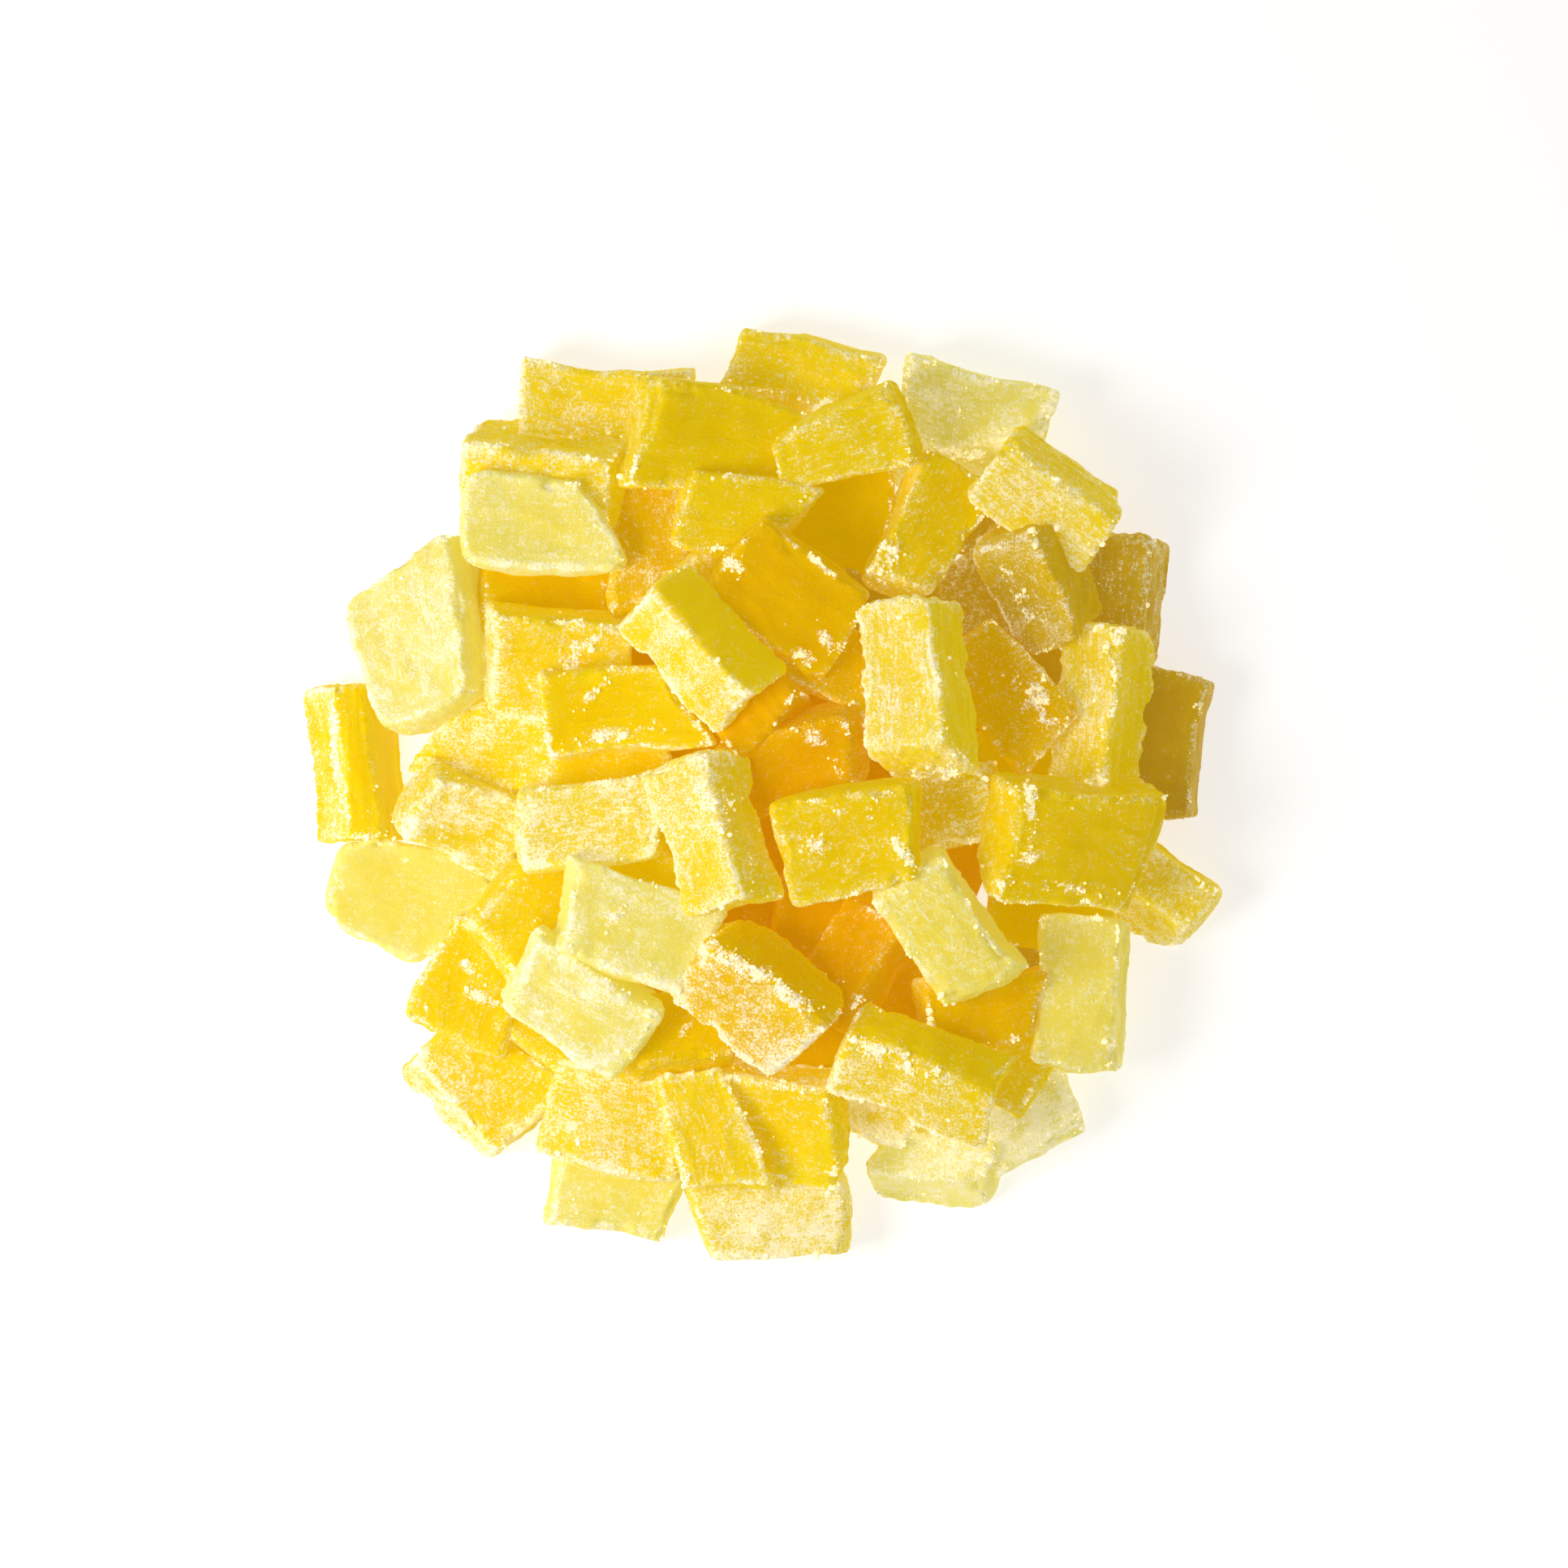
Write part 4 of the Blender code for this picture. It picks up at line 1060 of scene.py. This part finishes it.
def sugar_material(flesh):
    """Loose grains of sugar: nearly white, rough, and with a painted glow."""
    nodes = Nodes("sugar")
    place = nodes.add("ShaderNodeTexCoord", {}, {}, "Object")
    mottle = nodes.noise(place, *SUGAR_NOISE)
    values = {
        "Base Color": nodes.mix(mottle.stepped(*MOTTLE_EDGE), flesh.frosted_film, flesh.sugar_colour),
        # Painted glow, so that the loose sugar stays bright in shade
        "Emission Color": flesh.sugar_painted_glow,
        "Emission Strength": flesh.painted_glow,
        "Roughness": SUGAR_ROUGHNESS + mottle * MOTTLE_ROUGHNESS,
        "Subsurface Weight": SUGAR_GLOW_SHARE,
        "Subsurface Radius": SUGAR_GLOW,
        "Subsurface Scale": SUGAR_GLOW_DEPTH,
        "Normal": nodes.bump(mottle, *SUGAR_BUMP),
    }
    nodes.fill(nodes.surface, values)
    return nodes.material


def core_points(relief):
    """The core's own mound, finely ringed and lumpy: its points and its faces."""
    reaches = np.linspace(0, 1, FINE_RINGS + 1)[1:]
    shares, heights = np.array([(0, 1), *CORE_RINGS]).T
    profile = np.interp(reaches, shares, heights)
    bearings = np.arange(FINE_SIDES) * math.tau / FINE_SIDES
    east = np.outer(reaches, np.cos(bearings)) * CORE_RADIUS
    north = np.outer(reaches, np.sin(bearings)) * CORE_RADIUS
    high = np.repeat(profile[:, None], FINE_SIDES, axis=1) * CORE_HEIGHT
    upper = np.stack([east, north, high], axis=-1).reshape(-1, 3)
    upper[:, 2] += relief * waves(upper, *CORE_LUMPS) - relief
    upper[:, 2] = np.maximum(upper[:, 2], CORE_LOWEST)
    foot = upper[-FINE_SIDES:] * (1, 1, 0)
    points = np.concatenate([upper, foot, [(0, 0, CORE_HEIGHT - relief)], [(0, 0, 0)]])
    top = len(points) - 2
    bottom = len(points) - 1
    first_of_foot = FINE_RINGS * FINE_SIDES
    faces = []
    for side in range(FINE_SIDES):
        after = (side + 1) % FINE_SIDES
        faces.append((top, side, after))
        for ring in range(FINE_RINGS):
            inner = ring * FINE_SIDES
            outer = inner + FINE_SIDES
            faces.append((inner + side, outer + side, outer + after))
            faces.append((inner + side, outer + after, inner + after))
        faces.append((bottom, first_of_foot + after, first_of_foot + side))
    return points, np.array(faces)


def colour_property(name, description, default):
    return FloatVectorProperty(
        name=name,
        description=description,
        default=(*default, 1.0),
        size=4,
        min=0.0,
        max=1.0,
        subtype="COLOR",
    )


def length_property(name, description, default):
    return FloatProperty(
        name=name,
        description=description,
        default=default * MM,
        min=0.0,
        precision=5,
        unit="LENGTH",
    )


def share_property(name, description, default):
    return FloatProperty(
        name=name,
        description=description,
        default=default,
        min=0.0,
        max=1.0,
        subtype="FACTOR",
    )


def strength_property(name, description, default):
    return FloatProperty(name=name, description=description, default=default, min=0.0)


class DiceSettings(bpy.types.PropertyGroup):
    """Lengths that all the dice share."""

    spacing: length_property("Mesh spacing", "Distance between the points of a die's mesh", 0.34)
    hidden_spacing: length_property("Hidden spacing", "The same for dice deep in the gaps", 0.6)
    edge_radius: length_property("Edge radius", "How far a die's edges are rounded", 0.45)
    swell: length_property("Swell", "How far a die stands out all round, as its edges are blunter", 0.25)
    warp: length_property("Warp", "How far a die is bent out of its block", 0.8)
    wobble: length_property("Wobble", "The same at a finer scale", 0.12)
    relief: length_property("Lumps", "Height of the broad lumps on a die", 0.25)
    seam_depth: length_property("Seams", "Height of the seams along a die", 0.18)
    fibre_depth: length_property("Fibre height", "Height of the fibres on the sides", 0.16)
    tear_depth: length_property("Torn edges", "How far an edge is torn in and out", 0.26)
    chip_depth: length_property("Chips", "How deep an edge is chipped", 1.8)
    crust_depth: length_property("Crust", "Height of the crust of sugar", 0.4)


class FleshSettings(bpy.types.PropertyGroup):
    """The colours of the sugar, how the flesh shines, and the painted glow of flesh and sugar. Each kind's
    own colours are added below.
    """

    frost_colour: colour_property("Frost", "Fine flecks of sugar", (0.98, 0.96, 0.79))
    sugar_colour: colour_property("Sugar", "Crust and grains of sugar", (0.99, 0.95, 0.84))
    # Painted light: warm colour that the sugar gives out, so that it stays bright in shade
    sugar_painted_glow: colour_property("Light in sugar", "Light that comes out of the sugar", (0.95, 0.84, 0.58))
    # Painted glow: light that the flesh gives out by itself, which lifts its shaded sides and the gaps
    painted_glow: strength_property("Light inside", "Strength of the light that comes out of the flesh", 0.42)
    film_share: share_property("Film cover", "How far the film hides the flesh", 0.33)
    fleck_share: share_property("Fleck cover", "How far the fine flecks hide the flesh", 0.88)
    sugar_share: share_property("Sugar cover", "How far the thick sugar hides the flesh", 0.9)
    glow: share_property("Glow", "Share of light that goes through the flesh", 1.0)
    glow_depth: length_property("Glow depth", "How far light goes through the flesh", 0.3)


def colours_of_kinds():
    """The name and the setting of each colour that one kind of dice has for itself."""
    words = {"pale": "Palest flesh of", "deep": "Deepest flesh of", "film": "Film of sugar on"}
    for kind, colours in KINDS.items():
        for part, description in words.items():
            name = f"{kind.title()}, {part}"
            default = getattr(colours, part)
            yield f"{kind}_{part}", colour_property(name, f"{description} the {colours.called}", default)


FleshSettings.__annotations__.update(colours_of_kinds())


class SugarSettings(bpy.types.PropertyGroup):
    """How many loose grains and crumbs there are, and their widths."""

    grains: IntProperty(name="Grains", description="Small loose grains on the heap", default=5000, min=0)
    crumbs: IntProperty(name="Crumbs", description="Larger loose crumbs on the heap", default=260, min=0)
    smallest: length_property("Smallest grain", "Width of the smallest grain", 0.16)
    middling: length_property("Largest grain", "Width of the largest grain and the smallest crumb", 0.5)
    largest: length_property("Largest crumb", "Width of the largest crumb", 1.0)


class StageSettings(bpy.types.PropertyGroup):
    """The floor, the lights and the camera."""

    floor_colour: colour_property("Floor", "Colour of the floor", (0.60, 0.60, 0.60))
    floor_light: colour_property("Floor light", "Colour of the light from the floor", (0.96, 0.97, 0.99))
    floor_glow: strength_property("Floor glow", "Light from the floor itself", 0.63)
    key_power: strength_property("Key light", "Power of the soft light at the left, in watts", 0.5)
    key_colour: colour_property("Key colour", "Colour of the soft light at the left", (1.0, 0.96, 0.98))
    warmth: colour_property("Fill colour", "Colour of the light all round", (1.0, 0.93, 0.82))
    key_width: length_property("Key width", "Width of the soft light at the left", 130)
    fill: strength_property("Fill", "Brightness of the light all round", 0.44)
    camera_height: length_property("Camera height", "Height of the camera over the table", 1200)
    view_width: length_property("View width", "Width of the picture at the heap", 175.6)


class DiceBuilder:
    """What the operators that build dice have in common."""

    bl_options = {"REGISTER", "UNDO"}
    kind = ""

    def execute(self, context):
        resting, _, _ = laid_heap()
        chosen = [at_rest for at_rest in resting if LOOKS[at_rest.die.name].kind == self.kind]
        skins = [finished_die(at_rest, context.scene.pineapple_dice) for at_rest in chosen]
        piece = add_skin(f"{self.kind}_dice", joined(skins))
        piece.data.materials.append(flesh_material(self.kind, context.scene.pineapple_flesh))
        return {"FINISHED"}


class PINEAPPLE_OT_build_lemon_dice(DiceBuilder, bpy.types.Operator):
    """Build the pale lemon dice"""

    bl_idname = "pineapple.build_lemon_dice"
    bl_label = "Lemon Dice"
    kind = "lemon"


class PINEAPPLE_OT_build_bright_dice(DiceBuilder, bpy.types.Operator):
    """Build the bright yellow dice at the left"""

    bl_idname = "pineapple.build_bright_dice"
    bl_label = "Bright Dice"
    kind = "bright"


class PINEAPPLE_OT_build_honey_dice(DiceBuilder, bpy.types.Operator):
    """Build the honey-coloured dice"""

    bl_idname = "pineapple.build_honey_dice"
    bl_label = "Honey Dice"
    kind = "honey"


class PINEAPPLE_OT_build_golden_dice(DiceBuilder, bpy.types.Operator):
    """Build the golden dice"""

    bl_idname = "pineapple.build_golden_dice"
    bl_label = "Golden Dice"
    kind = "golden"


class PINEAPPLE_OT_build_frosted_dice(DiceBuilder, bpy.types.Operator):
    """Build the dice with the thickest sugar"""

    bl_idname = "pineapple.build_frosted_dice"
    bl_label = "Frosted Dice"
    kind = "frosted"


class PINEAPPLE_OT_build_amber_dice(DiceBuilder, bpy.types.Operator):
    """Build the low amber dice in the gaps, whose deep colour is partly their own and partly painted shade of
    the gaps
    """

    bl_idname = "pineapple.build_amber_dice"
    bl_label = "Amber Dice"
    kind = "amber"


class PINEAPPLE_OT_build_olive_dice(DiceBuilder, bpy.types.Operator):
    """Build the dull dice at the right, whose colour is partly their own and partly painted shade"""

    bl_idname = "pineapple.build_olive_dice"
    bl_label = "Olive Dice"
    kind = "olive"


class PINEAPPLE_OT_build_core(bpy.types.Operator):
    """Build the mound under the dice"""

    bl_idname = "pineapple.build_core"
    bl_label = "Core"
    bl_options = {"REGISTER", "UNDO"}

    def execute(self, context):
        points, faces = core_points(context.scene.pineapple_dice.relief / MM * CORE_RELIEF)
        numbers = [np.full(len(points), number) for number in CORE_NUMBERS]
        piece = add_skin("heap_core", Skin(points, faces, points + CORE_OFFSET, *numbers))
        # The core shows only deep in the gaps, so it takes the amber flesh and its partly painted shade
        piece.data.materials.append(flesh_material("amber", context.scene.pineapple_flesh))
        return {"FINISHED"}


def read_values(items, name, width):
    """One value of each item of a mesh, a row each."""
    values = np.empty(len(items) * width, np.float32)
    items.foreach_get(name, values)
    return values.reshape(-1, width)


class PINEAPPLE_OT_sprinkle_crumbs(bpy.types.Operator):
    """Sprinkle loose crumbs of sugar over the dice that are built"""

    bl_idname = "pineapple.sprinkle_crumbs"
    bl_label = "Sugar Crumbs"
    bl_options = {"REGISTER", "UNDO"}

    def execute(self, context):
        points, normals, weights = self.open_spots(context.scene)
        sugar = context.scene.pineapple_sugar
        draw = random.Random(CRUMB_DRAW)
        weights = np.cumsum(weights).tolist()
        sorts = (
            (sugar.grains, GRAIN_ROUNDS, sugar.smallest, sugar.middling),
            (sugar.crumbs, CRUMB_ROUNDS, sugar.middling, sugar.largest),
        )
        all_points = []
        all_faces = []
        start = 0
        for count, rounds, smallest, largest in sorts:
            shape, triangles = self.crumb_shape(rounds)
            for crumb, spot in enumerate(draw.choices(range(len(points)), cum_weights=weights, k=count)):
                # Small ones are the commonest
                width = smallest + (largest - smallest) * draw.random() ** 2
                stretch = [draw.uniform(*CRUMB_STRETCH) for _ in range(3)]
                turned = Euler([draw.uniform(0, math.tau) for _ in range(3)]).to_matrix()
                lumps = CRUMB_LUMPS * noise(shape * CRUMB_WAVES + crumb * CRUMB_STEP, CRUMB_SEED)
                lumpy = shape * (1 + lumps)[:, None]
                placed = (lumpy * stretch) @ np.array(turned).T * width / 2
                all_points.append(placed + points[spot] + normals[spot] * width * CRUMB_LIFT)
                all_faces.append(triangles + start)
                start += len(shape)
        _, _, middle = laid_heap()
        placed = np.concatenate(all_points) / MM + middle
        piece = add_piece("sugar_crumbs", placed, np.concatenate(all_faces))
        piece.data.materials.append(sugar_material(context.scene.pineapple_flesh))
        return {"FINISHED"}

    def open_spots(self, scene):
        """Points of the dice that lie open to the sky, with their normals and how likely sugar is there."""
        _, ground, middle = laid_heap()
        found = []
        for kind in KINDS:
            data = scene.objects[f"{kind}_dice"].data
            points = read_values(data.vertices, "co", 3).astype(float)
            normals = read_values(data.vertices, "normal", 3)
            dust = read_values(data.attributes["dust"].data, "value", 1)[:, 0]
            crust = read_values(data.attributes["crust"].data, "value", 1)[:, 0]
            over = points / MM + middle
            is_open = (over[:, 2] > ground.under(over) - EXPOSED) & (normals[:, 2] > LEAST_OPEN)
            weights = CRUMBS_ON_DUST * dust**3 + crust**2
            found.append((points[is_open], normals[is_open], weights[is_open]))
        return [np.concatenate(part) for part in zip(*found)]

    def crumb_shape(self, rounds):
        """A ball of triangles, 1 in radius, which gets finer with each round."""
        mesh = bmesh.new()
        bmesh.ops.create_icosphere(mesh, subdivisions=rounds, radius=1.0)
        return triangles_of(mesh)


class PINEAPPLE_OT_set_stage(bpy.types.Operator):
    """Set the floor, the soft lights and the camera"""

    bl_idname = "pineapple.set_stage"
    bl_label = "Stage"
    bl_options = {"REGISTER", "UNDO"}

    def execute(self, context):
        scene = context.scene
        stage = scene.pineapple_stage
        self.add_floor(scene, stage)
        self.add_lights(scene, stage)
        self.add_camera(scene, stage)
        scene.view_settings.view_transform = "Standard"
        return {"FINISHED"}

    def add_floor(self, scene, stage):
        mesh = bmesh.new()
        bmesh.ops.create_grid(mesh, x_segments=1, y_segments=1, size=FLOOR_SIZE)
        data = bpy.data.meshes.new("floor")
        mesh.to_mesh(data)
        mesh.free()
        floor = bpy.data.objects.new("floor", data)
        scene.collection.objects.link(floor)
        nodes = Nodes("floor")
        values = {
            "Base Color": stage.floor_colour,
            "Roughness": FLOOR_ROUGHNESS,
            "Emission Color": stage.floor_light,
            "Emission Strength": stage.floor_glow,
        }
        nodes.fill(nodes.surface, values)
        data.materials.append(nodes.material)
        floor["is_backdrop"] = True

    def add_lights(self, scene, stage):
        data = bpy.data.lights.new("key", "AREA")
        data.energy = stage.key_power
        data.color = stage.key_colour[:3]
        data.size = stage.key_width
        key = bpy.data.objects.new("key", data)
        key.location = KEY_PLACE
        key.rotation_euler = (Vector(KEY_TARGET) - key.location).to_track_quat("-Z", "Y").to_euler()
        scene.collection.objects.link(key)
        world = bpy.data.worlds.new("studio")
        world.use_nodes = True
        background = world.node_tree.nodes["Background"]
        background.inputs["Color"].default_value = stage.warmth
        background.inputs["Strength"].default_value = stage.fill
        scene.world = world

    def add_camera(self, scene, stage):
        """A camera straight above the heap, far enough off that the dice stand upright in the picture."""
        data = bpy.data.cameras.new("camera")
        data.lens = data.sensor_width * (stage.camera_height - VIEW_LEVEL) / stage.view_width
        data.clip_end = FARTHEST
        camera = bpy.data.objects.new("camera", data)
        _, _, middle = laid_heap()
        east, north, _ = (np.array(PICTURE_MIDDLE) - middle) * MM
        camera.location = (east, north, stage.camera_height)
        scene.collection.objects.link(camera)
        scene.camera = camera


class PINEAPPLE_PT_heap(bpy.types.Panel):
    """The steps of the heap, and the sizes and colours that they use"""

    bl_idname = "PINEAPPLE_PT_heap"
    bl_label = "Dried Pineapple Heap"
    bl_space_type = "VIEW_3D"
    bl_region_type = "UI"
    bl_category = "Pineapple"

    def draw(self, context):
        for operator in OPERATORS:
            self.layout.operator(operator.bl_idname)
        for name, _ in SETTINGS:
            box = self.layout.box()
            group = getattr(context.scene, name)
            for setting in group.__annotations__:
                box.prop(group, setting)


OPERATORS = (
    PINEAPPLE_OT_build_core,
    PINEAPPLE_OT_build_lemon_dice,
    PINEAPPLE_OT_build_bright_dice,
    PINEAPPLE_OT_build_golden_dice,
    PINEAPPLE_OT_build_honey_dice,
    PINEAPPLE_OT_build_frosted_dice,
    PINEAPPLE_OT_build_amber_dice,
    PINEAPPLE_OT_build_olive_dice,
    PINEAPPLE_OT_sprinkle_crumbs,
    PINEAPPLE_OT_set_stage,
)
SETTINGS = (
    ("pineapple_dice", DiceSettings),
    ("pineapple_flesh", FleshSettings),
    ("pineapple_sugar", SugarSettings),
    ("pineapple_stage", StageSettings),
)


def register():
    """Adds the settings, the steps and the panel."""
    for name, group in SETTINGS:
        bpy.utils.register_class(group)
        setattr(bpy.types.Scene, name, PointerProperty(type=group))
    for operator in OPERATORS:
        bpy.utils.register_class(operator)
    bpy.utils.register_class(PINEAPPLE_PT_heap)


def unregister():
    """Takes away what register adds."""
    bpy.utils.unregister_class(PINEAPPLE_PT_heap)
    for operator in reversed(OPERATORS):
        bpy.utils.unregister_class(operator)
    for name, group in reversed(SETTINGS):
        delattr(bpy.types.Scene, name)
        bpy.utils.unregister_class(group)


def main():
    """Builds the heap step by step."""
    register()
    bpy.ops.pineapple.build_core()
    bpy.ops.pineapple.build_lemon_dice()
    bpy.ops.pineapple.build_bright_dice()
    bpy.ops.pineapple.build_golden_dice()
    bpy.ops.pineapple.build_honey_dice()
    bpy.ops.pineapple.build_frosted_dice()
    bpy.ops.pineapple.build_amber_dice()
    bpy.ops.pineapple.build_olive_dice()
    bpy.ops.pineapple.sprinkle_crumbs()
    bpy.ops.pineapple.set_stage()
    boxes = {"cad": CAD_BOX, "visual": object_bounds()}
    sizes = {name: [list(corner) for corner in box] for name, box in boxes.items()}


if __name__ == "__main__":
    main()
